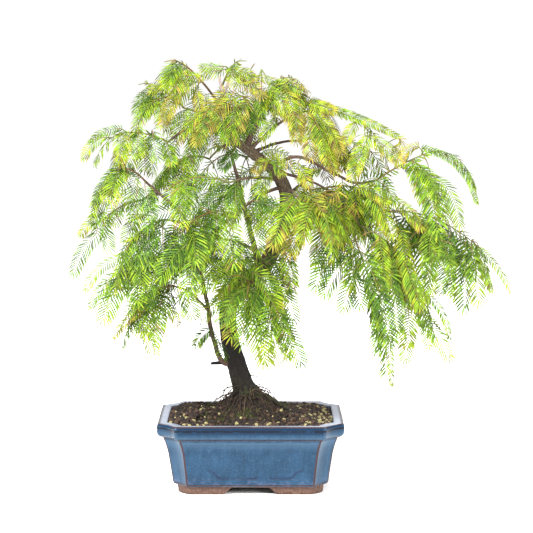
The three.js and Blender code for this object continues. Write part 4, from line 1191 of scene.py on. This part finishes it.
# Fronds that hang outermost, region by region: where each starts and ends, how far it arches out before it
# hangs (0 is straight), the length of its longest needles and how much riper than its neighbours it is.
FRONDS = [
    ("left", [
        (-141, -44, 412, -176, -50, 399, 0.7, 7, -0.2), (-156, -46, 404, -184, -52, 380, 0.6, 8, -0.2),
        (-144, -48, 409, -143, -56, 381, 0, 11, 0.4), (-124, -46, 414, -125, -56, 383, 0, 11, 0.5),
        (-109, -44, 410, -103, -54, 380, 0, 12, -0.6), (-95, -40, 399, -87, -52, 375, 0, 10, 0),
        (-138, -44, 374, -172, -58, 330, 0.4, 10, -0.2), (-138, -48, 375, -153, -60, 342, 0.5, 9, 0),
        (-136, -52, 353, -173, -64, 309, 0.6, 12, -0.7), (-145, -58, 338, -149, -70, 309, 0, 11, 0.8),
        (-127, -50, 357, -135, -60, 328, 0.1, 11, 0), (-126, -62, 318, -137, -72, 290, 0.1, 11, 0.2),
        (-125, -60, 344, -128, -72, 314, 0.2, 12, 0.5), (-116, -62, 345, -108, -74, 317, 0.2, 11, 0),
        (-162, -60, 318, -187, -66, 296, 0.4, 8, 0.8), (-163, -60, 312, -156, -70, 281, 0, 12, 0.6),
        (-170, -60, 298, -196, -66, 253, 0.3, 12, 0.3), (-46, -70, 325, -111, -96, 307, 1.2, 14, -1),
        (-37, -40, 355, -90, -76, 332, 1, 13, -0.5), (-60, -60, 349, -78, -84, 318, 0.4, 13, 0),
        (-135, -70, 274, -181, -80, 237, 0.5, 9, 0.2), (-144, -72, 255, -176, -82, 217, 0.4, 8, 0.6),
        (-144, -80, 247, -160, -92, 206, 0.1, 15, 0.3), (-139, -78, 253, -123, -90, 225, 0.2, 15, -0.3),
        (-125, -74, 272, -106, -88, 241, 0.2, 14, -0.2), (-108, -80, 295, -114, -90, 266, 0.2, 13, -0.9),
        (-87, -64, 225, -133, -78, 214, 1, 11, 0), (-116, -60, 211, -150, -74, 182, 0.5, 6, 3),
        (-122, -62, 195, -107, -74, 164, 0.2, 12, 1), (-96, -60, 218, -81, -70, 196, 0.3, 8, 2.6),
        (-103, -62, 224, -100, -72, 189, 0.2, 10, 1.2), (-78, -66, 243, -64, -80, 209, 0.3, 14, 0),
        (-49, -96, 299, -68, -112, 237, 0.3, 17, -0.4), (-51, -94, 297, -95, -114, 256, 0.4, 15, 0),
        (-79, -90, 294, -98, -106, 256, 0.2, 13, 0.5), (-66, -90, 281, -111, -106, 236, 0.4, 14, -0.1),
        (-31, -84, 303, -58, -104, 289, 0.9, 14, -0.3), (-16, -66, 250, -64, -92, 234, 0.6, 13, 0),
        (-99, -78, 311, -135, -86, 267, 0.3, 12, -0.8), (-44, -16, 185, -62, -20, 166, 0.4, 10, 0.3),
    ]),
    ("middle", [
        (-14, -50, 246, -27, -64, 212, 0, 11, 0), (-10, -58, 242, 15, -84, 159, 0.2, 18, 0.3),
        (-4, -58, 241, 55, -86, 158, 0.3, 16, -0.3), (13, -80, 193, 35, -94, 159, 0.3, 11, 0.9),
        (24, -24, 267, 48, -40, 199, 0.2, 15, -0.6), (20, -30, 261, 39, -44, 223, 0.3, 14, -0.6),
        (80, -40, 301, 75, -56, 264, 0.2, 14, -0.6), (38, -30, 279, 47, -46, 238, 0.1, 13, -0.6),
        (-30, -40, 220, -54, -56, 201, 0.5, 13, 0.1), (9, -76, 193, 20, -92, 157, 0.2, 13, 0.8),
        (20, -74, 201, 44, -88, 167, 0.4, 12, 0), (-5, -60, 235, -21, -78, 184, 0.1, 15, 0.6),
        (2, -60, 256, 28, -74, 217, 0.4, 14, -0.2), (46, -58, 328, 25, -84, 286, 0.2, 14, 1.2),
        (68, -64, 320, 44, -88, 278, 0.3, 16, 1.9), (73, -62, 324, 89, -84, 291, 0.3, 14, 2),
        (22, -30, 376, 6, -44, 365, 0.5, 9, 0.7), (22, -30, 376, 35, -44, 362, 0.4, 9, 0.7),
        (5, -50, 332, 32, -64, 319, 0.5, 11, -0.3), (-14, -44, 346, -51, -72, 319, 0.6, 13, -0.5),
        (-23, -50, 292, -6, -62, 266, 0.3, 12, -0.5), (13, -40, 263, -32, -62, 232, 0.4, 15, -0.1),
        (6, -44, 256, -29, -62, 218, 0.2, 14, 0.1), (1, -44, 253, -40, -62, 250, 1, 13, -0.2),
        (-10, -40, 258, -49, -62, 265, 1.2, 13, 0), (13, -36, 269, -14, -56, 242, 0.3, 13, 0.2),
        (-16, -50, 243, -38, -60, 217, 0.2, 11, 0.3),
    ]),
    ("right", [
        (79, -34, 381, 96, -46, 364, 0.3, 9, -0.3),
    ]),
    ("middle", [
        (53, -34, 372, 65, -46, 348, 0.3, 9, -0.2), (76, -34, 365, 55, -44, 355, 0.4, 8, 0),
    ]),
    ("top", [
        (-52, -20, 470, -97, -36, 459, 1.2, 10, 0.8), (-59, -24, 472, -84, -40, 445, 0.3, 10, 0.8),
        (-83, -28, 461, -109, -40, 454, 1.2, 9, 1.6), (-78, -34, 456, -96, -50, 419, 0.3, 11, 1),
        (-61, -24, 454, -56, -36, 432, 0.1, 9, 1.2), (-30, -16, 476, -56, -34, 470, 0.8, 10, 0.8),
        (-25, -14, 478, 4, -24, 468, 0.5, 10, 1.2), (-32, -12, 480, -53, -22, 480, 0.5, 9, 0.4),
        (-1, -10, 471, 39, -22, 457, 0.4, 7, 1), (-27, -44, 452, -59, -70, 398, 0.3, 12, 1),
        (-18, -50, 448, -46, -72, 411, 0.3, 12, 1.6), (-14, -48, 443, -23, -70, 400, 0.1, 13, 0),
        (-5, -40, 448, -11, -60, 415, 0.2, 12, 0.3), (-12, -20, 461, 13, -40, 448, 0.7, 10, 1.6),
        (20, -18, 461, 55, -30, 454, 1, 10, 1.3), (-23, -20, 438, -41, -34, 410, 0.1, 10, -1.4),
        (-16, -24, 434, -27, -38, 401, 0.1, 11, -1.7), (-12, -24, 438, 0, -38, 410, 0.1, 10, -1.3),
        (-32, -16, 445, -50, -30, 421, 0.1, 10, -1), (-3, -20, 438, 13, -34, 419, 0.2, 9, -0.7),
        (-16, -20, 389, -31, -30, 367, 0.1, 9, -1.6), (55, -30, 443, 51, -46, 399, 0.1, 11, -1.4),
        (73, -30, 436, 84, -46, 390, 0.1, 11, -1.2), (38, -30, 461, 52, -52, 408, 0.2, 13, 0.6),
        (13, -20, 452, 30, -36, 429, 0.3, 9, 1.2), (6, -22, 454, 13, -38, 430, 0.2, 10, 0.8),
        (29, -26, 422, 13, -36, 401, 0.1, 8, 0.4), (22, -30, 456, 42, -46, 426, 0.3, 12, 1.4),
    ]),
    ("right", [
        (62, -24, 441, 92, -36, 432, 0.2, 10, -0.6), (64, -26, 441, 163, -44, 404, 0.2, 7, -1.5),
        (69, -28, 434, 101, -48, 386, 0.2, 11, 0.2), (64, -34, 430, 67, -54, 381, 0.1, 12, 0.9),
        (78, -34, 410, 93, -48, 368, 0.1, 10, 0.9), (131, -34, 401, 113, -48, 357, 0.2, 11, 0.3),
        (127, -32, 405, 168, -46, 374, 0.3, 11, 0.8), (118, -30, 419, 106, -42, 397, 0.1, 9, 0.2),
        (170, -36, 401, 160, -44, 377, 0.1, 8, 1.8), (190, -30, 390, 253, -40, 330, 0.7, 6, 0.2),
        (181, -40, 374, 208, -56, 300, 0.5, 18, -0.3), (192, -34, 363, 218, -44, 314, 0.5, 13, -0.2),
        (202, -36, 360, 234, -44, 306, 0.6, 13, -0.3), (180, -38, 372, 193, -48, 333, 0.2, 12, 1.4),
        (99, -60, 342, 55, -80, 304, 0.4, 14, 1.6), (135, -48, 335, 158, -62, 296, 0.2, 13, 0.8),
        (160, -44, 334, 190, -54, 302, 0.3, 10, 1), (118, -44, 348, 150, -56, 331, 0.5, 10, 0.9),
        (113, -62, 256, 122, -72, 220, 0.2, 15, -0.7), (107, -50, 277, 73, -66, 240, 0.5, 15, -0.9),
        (111, -54, 268, 83, -68, 231, 0.3, 15, -0.7), (102, -48, 282, 75, -62, 258, 0.4, 14, -0.8),
        (120, -60, 260, 104, -72, 216, 0.1, 15, -0.5), (228, -22, 265, 224, -36, 230, 0.2, 13, 0),
        (239, -14, 264, 233, -28, 225, 0.2, 15, -0.7), (262, 0, 272, 271, -8, 235, 0.2, 9, 0.2),
        (187, -32, 392, 169, -44, 379, 0.5, 8, 1.6), (126, -64, 274, 156, -76, 179, 0.2, 16, -0.3),
        (154, -74, 190, 157, -78, 130, 0, 6, 0.2), (147, -66, 232, 140, -76, 168, 0.1, 12, 0.2),
        (173, -36, 219, 178, -46, 170, 0.1, 12, 0), (184, -28, 214, 175, -40, 153, 0.1, 13, 0),
        (193, -24, 202, 224, -36, 155, 0.2, 13, 0.1), (182, -28, 231, 225, -40, 177, 0.7, 7, -0.2),
        (168, -38, 300, 181, -50, 230, 0.1, 14, 0.8), (142, -52, 297, 151, -64, 234, 0.1, 14, 1.3),
        (200, -30, 302, 203, -42, 231, 0.1, 13, 0.2), (226, -20, 294, 215, -34, 228, 0.1, 12, -0.4),
        (244, -10, 285, 243, -26, 212, 0.1, 18, -0.8), (251, -8, 277, 259, -22, 217, 0.1, 16, -0.5),
        (255, 0, 280, 299, -8, 223, 0.3, 7, 0.6), (259, -4, 263, 275, -10, 226, 0.2, 6, 0.6),
        (162, -50, 263, 140, -60, 220, 0.2, 13, 0), (153, -56, 257, 164, -68, 189, 0.2, 14, -0.4),
        (172, -48, 263, 189, -60, 215, 0.2, 13, 0.2), (214, -26, 288, 226, -38, 253, 0.2, 12, 0.2),
        (208, -34, 275, 194, -46, 220, 0.2, 12, 0.5), (192, -26, 218, 203, -36, 168, 0.2, 12, 0.3),
    ]),
]
# Where the foliage lets the sky through: x, z and radius, all seen on the plane through the pot's middle.
OPENINGS = [
    (-114, 479, 15), (-139, 456, 13), (22, 481, 13), (84, 458, 18), (107, 429, 13), (115, 403, 11),
    (45, 397, 9), (-35, 369, 20), (-185, 340, 11), (-178, 272, 15), (68, 277, 15), (68, 226, 19),
    (91, 203, 19), (56, 203, 15), (130, 191, 11), (-70, 191, 12), (-47, 156, 14), (203, 375, 13),
    (-16, 358, 6), (-8, 330, 6), (-2, 302, 6), (1, 280, 6), (-133, 364, 7), (-90, 321, 15), (-162, 269, 9),
    (-156, 386, 7), (31, 346, 9), (13, 415, 8), (37, 410, 10), (52, 400, 7), (13, 470, 8), (-46, 465, 7),
    (61, 377, 7), (80, 367, 8), (98, 356, 6), (46, 386, 7), (-50, 362, 16), (-163, 411, 8), (179, 335, 13),
    (132, 272, 10), (136, 360, 8), (-67, 203, 9), (13, 479, 9), (113, 436, 9), (70, 259, 8), (-153, 272, 11),
    (135, 159, 9), (89, 228, 8), (-27, 463, 9),
]


def smooth_path(frames, at):
    """Points, tangents, sides and normals at broken indexes along a list of frames."""
    at = np.asarray(at, float)
    p = np.array([f.p for f in frames])
    s = np.array([f.s for f in frames])
    slope = np.gradient(p, axis=0)
    i = np.clip(at.astype(int), 0, len(frames) - 2)
    w = (at - i)[:, None]
    a, b, ta, tb = p[i], p[i + 1], slope[i], slope[i + 1]
    c2, c3 = 3 * (b - a) - 2 * ta - tb, 2 * (a - b) + ta + tb
    point = a + ta * w + c2 * w**2 + c3 * w**3
    t = ta + 2 * c2 * w + 3 * c3 * w**2
    t /= np.linalg.norm(t, axis=1)[:, None]
    side = s[i] * (1 - w) + s[i + 1] * w
    side -= t * (side * t).sum(1)[:, None]
    side /= np.linalg.norm(side, axis=1)[:, None]
    return point, t, side, np.cross(side, t)


def shoot_frames(at, way, hang, steps, *keys):
    """The frames of a shoot that leaves its parent to one side and turns down."""
    turn = way * spread(*TURN, *keys, 1)
    roll = spread(*ROLL, *keys, 2)
    heading = at.t * math.cos(turn) + at.s * math.sin(turn)
    side = at.s * math.cos(turn) - at.t * math.sin(turn)
    side = Quaternion(heading, roll) @ side
    return frames_drooping(at.p, heading, side, steps * PITCH, hang * spread(*PULL, *keys, 3), steps)


class Foliage:
    """Gathers every needle, rib and twig of the tree as arrays."""

    def __init__(self):
        self.needles = {}
        self.ribs, self.twigs, self.stems = Tubes(3), Tubes(6), []
        shares = [k / 160 for k in range(161)]
        radii = np.array([trunk_radius(u) + 0.6 for u in shares])
        self.trunk = np.array([TRUNK_CURVE(u) for u in shares]), radii

    def clear(self, points):
        """Which points are in the plant's reach and outside the trunk."""
        low, high = np.array(REACH)
        inside = ((points >= low) & (points <= high)).all(1)
        gap = np.linalg.norm(points[:, None] - self.trunk[0][None], axis=2) - self.trunk[1]
        return inside & (gap.min(1) > 0)

    def ripeness(self, p, region, *keys):
        """How far towards straw a spray has turned: most at the top and in the middle of the right side."""
        ripe = 0.9 + 0.65 * smoothstep(290, 440, p.z)
        ripe += spread(-1, 1, *keys, 9) * (0.7 + 0.5 * smoothstep(320, 430, p.z)) + 0.9 * noise.noise(p / 38)
        ripe += 0.9 * smoothstep(20, 50, p.x) * smoothstep(150, 110, p.x) * smoothstep(255, 290, p.z)
        ripe -= 0.4 * smoothstep(0, -50, p.x) * smoothstep(440, 400, p.z)
        return ripe - 0.6 * (region == "back")

    def tints(self, ripe, along, seed):
        """The tint of each needle of a spray: riper towards its tip, and now and then a dry one."""
        tint = np.tile(ripe + 0.5 * (along > 0.62) + 0.4 * (along > 0.85), 2)
        tint += seed.uniform(-0.8, 0.8, len(tint))
        dry = seed.uniform(0, 1, len(tint)) < 0.01 * max(ripe, 0) ** 2
        tint = np.clip(np.round(tint), 0, GREENS - 1)
        return np.where(dry, seed.integers(GREENS, len(TINTS), len(tint)), tint).astype(int)

    def spray(self, region, frames, bare, size, *keys, around=0.12, shift=0.0):
        """One feathery shoot: a rib with pairs of flat needles, long at the middle and short at both ends."""
        last = len(frames) - 1
        rows = 2 * last + 1
        self.ribs.add(smooth_path(frames, np.linspace(0, last, rows)), np.linspace(0.55, 0.25, rows))
        count = max(int((last - bare) * PITCH / (NEEDLE_PITCH * max(size, 10))), 2)
        along = np.append((np.arange(count) + 0.5) / count, 1)
        p, t, s, n = smooth_path(frames, bare + along * (last - bare))
        out = size * np.sin(np.pi * mix(*SWELL, along))
        ahead = out * mix(*LEAN, along)
        out[count:] *= 0.4  # the last pair makes the tip
        ahead[count:] *= 1.2
        half = NEEDLE_HALF * (RIGHT_WIDER if region == "right" else 1) * max(size, 12)
        fold = spread(*FOLD, *keys, 12)
        seed = np.random.default_rng([int(k) for k in keys])

        def jitter(low, high):
            return seed.uniform(low, high, (count + 1, 1))

        sides = []
        for way in (1, -1):
            turn = jitter(-around, around) - way * fold
            side = s * np.cos(turn) + n * np.sin(turn)
            o = out[:, None] * jitter(0.94, 1.05)
            a = ahead[:, None] * jitter(0.93, 1.07)
            drop = np.array([0, 0, -1.0]) * o * (DIP + jitter(-0.06, 0.08))
            face = n * np.cos(turn) - s * np.sin(turn) + side * jitter(-0.35, 0.35)
            face *= half / np.linalg.norm(face, axis=1)[:, None]
            sides.append(np.stack([p + t * jitter(-0.4, 0.4), side * o * way, t * a, drop, face], 1))
        parts = np.concatenate(sides)
        tint = self.tints(self.ripeness(frames[last // 2].p, region, *keys) + shift, along, seed)
        tips = parts[:, :4].sum(1)
        keep = self.clear(tips) & self.clear(parts[:, 0] * 0.7 + tips * 0.3)
        self.needles.setdefault(region, []).append((parts[keep], tint[keep]))

    def shows_sky(self, frames):
        """Whether a shoot runs through one of the openings."""
        seen = [(f.p.x, f.p.z + 0.09 * f.p.y) for f in frames[1:]]
        return any((x - a) ** 2 + (z - b) ** 2 < r * r for a, b, r in OPENINGS for x, z in seen)

    def frond(self, region, start, tip, arch, size, shift, seed):
        """A listed shoot, flat side outwards, on a twig from the nearest limb or stem."""
        stems = np.concatenate(self.stems)
        carrier = Vector(stems[np.linalg.norm(stems - np.array(start), axis=1).argmin()])
        twig = (start - carrier).length
        hangs = Bow(start, tip, 0)
        hangs.middle += (Vector((tip.x, tip.y, start.z)) - hangs.middle) * arch
        knee = (carrier + start) / 2 + UP * min(twig * 0.12, 6)
        way = Spline([carrier, knee, start, hangs(0.35), hangs(0.7), tip])
        steps = max(round((twig + (tip - start).length * 1.05) / PITCH), 4)
        bare = min(twig / PITCH, steps - 2)
        samples = [way(k / 200) for k in range(201)]
        lengths = np.cumsum([0] + [(b - a).length for a, b in zip(samples, samples[1:])])
        shares = np.interp(np.linspace(0, lengths[-1], steps + 1), lengths, np.linspace(0, 1, 201))
        out = Vector((tip.x * 0.06, math.copysign(max(abs(tip.y), 30), tip.y), 10)).normalized()
        frames = [Frame(way(u), tangent(way, u), tangent(way, u).cross(out)) for u in shares]
        self.twig(frames, bare + 1, 0.7, 0.35)
        self.spray(region, frames, bare * 0.85, size, seed, 91, shift=shift)

    def twig(self, frames, upto, root, tip):
        """A bare twig along the first of a shoot's frames."""
        rows = max(int(upto * 3), 2) + 1
        self.twigs.add(smooth_path(frames, np.linspace(0, upto, rows)), np.linspace(root, tip, rows))

    def shoot(self, region, hang, at, way, length, forked, size, *keys):
        """A spray, or a twig that carries pairs of sprays before its own needles."""
        bare = BARE if forked else 1
        steps = max(round(length * spread(0.9, 1.1, *keys, 4) / PITCH) + bare - 1, bare + 1)
        frames = shoot_frames(at, way, hang, steps, *keys)
        if self.shows_sky(frames):
            return
        self.spray(region, frames, bare * 0.4, size, *keys)
        if not forked:
            return
        self.twig(frames, min(bare + 1, steps), 0.8, 0.45)
        for place, share in ((1.5, 0.85), (2.7, 0.7)):
            knee = between(frames, place)
            for side in (1, -1):
                if place < 2 or chance(*keys, 15 + side) < 0.6:
                    more = (*keys, 5 + side, int(place))
                    self.shoot(region, hang, knee, side, length * share, False, size * 0.95, *more)

    def mass(self, row, limbs, seed):
        """One mass of foliage: a stem that goes on from its bough, and its shoots to both sides."""
        name, parent, share, tip, _, _, reach, arch, shoots, forks, spray, hang = row
        region = REGIONS[name.split("_")[0]]
        size = 15.8 - 3.6 * smoothstep(320, 440, reach[2])
        size += 5.2 * smoothstep(60, 140, reach[0]) * smoothstep(350, 290, reach[2])
        limb = limbs[name if tip else parent]
        on_tip = tip or share == 1
        start = limb.curve(1 if on_tip else share)
        frames = frames_along(Bow(start, Vector(reach), arch), shoots + 1)
        if on_tip:
            frames[0] = Frame(start, tangent(limb.curve, 1), frames[0].s)
        end = frames[-1]
        steps = round(0.9 * spray / PITCH)
        side = Quaternion(end.t, spread(-0.5, 0.5, seed, 51)) @ end.s
        frames += frames_drooping(end.p, end.t, side, steps * PITCH, hang, steps)[1:]
        self.twig(frames, shoots + 2, min(1.2, limb.radius(1)), 0.5)
        self.stems.append(np.array([f.p for f in frames[:-1]]))
        self.spray(region, frames[: shoots + 2], 0.5, size * 0.62, seed, 52, around=1.3)
        if not self.shows_sky(frames[shoots + 1 :]):
            self.spray(region, frames[shoots + 1 :], 0, size * 0.72, seed, 50, around=0.9)
        for k in range(shoots):
            way = 1 if (k + seed) % 2 else -1
            length = spray * (1 - 0.2 * k / shoots)
            node, below = between(frames, k + 1.4), between(frames, k + 0.9)
            self.shoot(region, hang, node, way, length, k < forks, size, seed, k, 0)
            if chance(seed, k, 35) < 0.85 * FILL[region]:
                self.shoot(region, hang, node, -way, length * 0.8, False, size, seed, k, 31)
            for side, key in ((way, 32), (-way, 33)):
                if chance(seed, k, 36, key) < 0.62 * FILL[region]:
                    more = (length * 0.72, False, size * 0.95, seed, k, key)
                    self.shoot(region, hang, below, side, *more)

    def inner_sprays(self, row, limb, seed):
        """Short sprays along a bough's outer part."""
        region, hang = REGIONS[row[0].split("_")[0]], row[-1]
        count = int((limb.curve(1) - limb.curve(0)).length * 0.68 / 13)
        for k in range(count):
            u = mix(0.32, 0.97, (k + 0.5) / count)
            t = tangent(limb.curve, u)
            at = Frame(limb.curve(u), t, Quaternion(t, spread(-1.2, 1.2, seed, k, 60)) @ t.cross(UP))
            for way in (1, -1):
                if chance(seed, k, 61 + way) < 0.62:
                    length = spread(36, 62, seed, k, 63 + way)
                    self.shoot(region, hang, at, way, length, False, 14, seed, k, 65 + way)

    def trunk_sprays(self, count=34):
        """Young shoots that break from the trunk above its first bend."""
        for k in range(count):
            u = mix(0.36, 0.97, (k + 0.5) / count)
            t = tangent(TRUNK_CURVE, u)
            out = Quaternion(t, 2.4 * k + spread(-0.5, 0.5, 70, k)) @ t.cross(UP).normalized()
            at = Frame(TRUNK_CURVE(u) + out * trunk_radius(u) * 0.8, out + UP * 0.3, t)
            region = "top" if at.p.z > 400 else "middle"
            length = spread(40, 72, 71, k)
            self.shoot(region, 1.5, at, spread(-0.5, 0.5, 74, k), length, length > 58, 14, 72, k)


def behind(p):
    """The place on the tree's far side that another place hides from the front."""
    return EYE + (p - EYE) * ((20 - p.y - EYE.y) / (p.y - EYE.y))


def needle(name, rgb):
    """A soft blade that lets some light through, its tint mixed by noise from a darker and a lighter copy as
    painted shade and highlight.
    """
    f = Finish(name, roughness=0.5, specular_ior_level=0.15)
    # Painted shade and highlight: a darker and a lighter copy of the tint.
    lit_and_shaded = [tone(*[c * share for c in rgb]) for share in (0.68, 1.2)]
    f.set(base_color=f.blend(f.noise(9, detail=4.0).ramp(0.32, 0.68), *lit_and_shaded))
    f.let_through(0.17, tone(min(rgb[0] * 1.2 + 8, 255), min(rgb[1] * 1.15 + 8, 255), rgb[2]))
    return f.material


def needle_mesh(name, parts, tints):
    """All needles of a region: each a blade with a ridge, that widens, bends forward and ends in a point."""
    base, out, ahead, drop, normal = [parts[:, k] for k in range(5)]
    length = out + ahead
    across = np.cross(normal, length / np.linalg.norm(length, axis=1)[:, None])
    rows = [base[:, None]]
    for u, wide in ((0.2, 0.92), (0.7, 1.0)):
        middle = base + out * u + ahead * (0.6 * u + 0.4 * u * u) + drop * u * u
        half = across * wide
        rows.append(np.stack([middle + half, middle - half, middle + normal * NEEDLE_RIDGE], 1))
    rows.append((base + out + ahead + drop)[:, None])
    points = np.concatenate(rows, 1).reshape(-1, 3)
    first = np.arange(len(base))[:, None, None] * 8
    ring = [(0, 1), (1, 2), (2, 0)]
    triangles = np.array([(0, 1 + a, 1 + b) for a, b in ring] + [(7, 4 + b, 4 + a) for a, b in ring])
    quads = np.array([(1 + a, 4 + a, 4 + b, 1 + b) for a, b in ring])
    riper = np.where(tints < GREENS - 1, tints + 1, tints)
    ends = np.stack([tints] * 3 + [riper] * 3, 1)
    finishes = np.concatenate([ends.ravel(), np.repeat(tints, 3)])
    faces = [(first + triangles).reshape(-1, 3), (first + quads).reshape(-1, 4)]
    return mesh_of(name, points, faces, finishes, smooth=False)


def rib():
    f = Finish("rib", roughness=0.55, specular_ior_level=0.35)
    f.set(base_color=f.blend(f.noise(14).ramp(0.35, 0.65), tone(68, 96, 32), tone(104, 106, 44)))
    return f.material


def add_fronds(foliage):
    """The listed fronds, and a twin behind each that hangs over the middle of the tree."""
    fronds = [
        (region, Vector(row[:3]), Vector(row[3:6]), *row[6:]) for region, rows in FRONDS for row in rows
    ]
    for number, frond in enumerate(fronds):
        foliage.frond(*frond, 900 + number)
    for number, (region, start, tip, *shape) in enumerate(fronds):
        lowest = 215 if region == "middle" else 270
        if -100 < tip.x < 105 and lowest < tip.z < 440:
            foliage.frond("back", behind(start), behind(tip), *shape, 1200 + number)


def make_foliage(limbs):
    """Every mass, spray and frond, with the needles joined region by region."""
    foliage = Foliage()
    for seed, row in enumerate(BOUGHS):
        foliage.mass(row, limbs, seed)
        if row[3]:
            foliage.inner_sprays(row, limbs[row[0]], seed)
    foliage.trunk_sprays()
    foliage.stems += [np.array([limb.curve(k / 30) for k in range(31)]) for limb in limbs.values()]
    add_fronds(foliage)
    finishes = [needle(f"needle_{k}", rgb) for k, rgb in enumerate(TINTS)]
    for region, gathered in foliage.needles.items():
        parts, tints = [np.concatenate(column) for column in zip(*gathered)]
        stands_for = [f"foliage_{row[0]}" for row in BOUGHS if REGIONS[row[0].split("_")[0]] == region]
        name = f"needles_{region}"
        piece(name, needle_mesh(name, parts, tints), finishes, "foliage", *stands_for)
    piece("ribs", foliage.ribs.mesh("ribs"), [rib()], "foliage")
    piece("twigs", foliage.twigs.mesh("twigs"), [bough_bark()], "bark")


# ------------------------------------------------------------------ the studio

WORLD_STRENGTH = 1.01
# Each lamp: its name, place, aim, size and power, in metres and watts.
LAMPS = [
    ("key", (-1.6, -2.3, 2.5), (0, 0, 0.25), 1.2, 322),
    ("fill", (1.7, -2.2, 1.3), (0.12, 0, 0.3), 1.3, 94),
    ("back", (0.2, 1.6, 1.6), (0, 0, 0.3), 1.2, 30),
]
FILM, FOCAL, IMAGE = 36, 1800, 533  # the film's width in millimetres, the other two in pixels
LOOKS_DOWN = 6.36  # degrees


def make_floor():
    bm = bmesh.new()
    bmesh.ops.create_grid(bm, x_segments=1, y_segments=1, size=12)
    mesh = bpy.data.meshes.new("floor")
    bm.to_mesh(mesh)
    bm.free()
    white = Finish("floor_white", base_color=tone(255, 255, 255), roughness=0.8, specular_ior_level=0.35)
    mesh.materials.append(white.material)
    floor = link("floor", mesh)


def make_lights():
    world = bpy.data.worlds.new("studio")
    bpy.context.scene.world = world
    world.use_nodes = True
    background = world.node_tree.nodes["Background"]
    background.inputs["Color"].default_value = (1, 1, 1, 1)
    background.inputs["Strength"].default_value = WORLD_STRENGTH
    for name, place, aim, size, power in LAMPS:
        light = bpy.data.lights.new(name, "AREA")
        light.shape, light.size, light.energy = "DISK", size, power
        lamp = link(name, light)
        lamp.location = Vector(place)
        lamp.rotation_euler = (Vector(aim) - Vector(place)).to_track_quat("-Z", "Y").to_euler()
    bpy.context.scene.view_settings.view_transform = "Standard"


def make_camera():
    camera = bpy.data.cameras.new("camera")
    camera.sensor_width, camera.lens = FILM, FOCAL / IMAGE * FILM
    eye = link("camera", camera)
    eye.location = (EYE + PLACE) * MM
    eye.rotation_euler = (math.radians(90 - LOOKS_DOWN), 0, 0)
    bpy.context.scene.camera = eye


# ------------------------------------------------------------------ the whole plant

limbs = grow_limbs()
make_pot()
make_soil()
make_granules()
make_moss()
make_roots()
make_trunk(limbs)
make_boughs(limbs)
make_foliage(limbs)
make_floor()
make_lights()
make_camera()
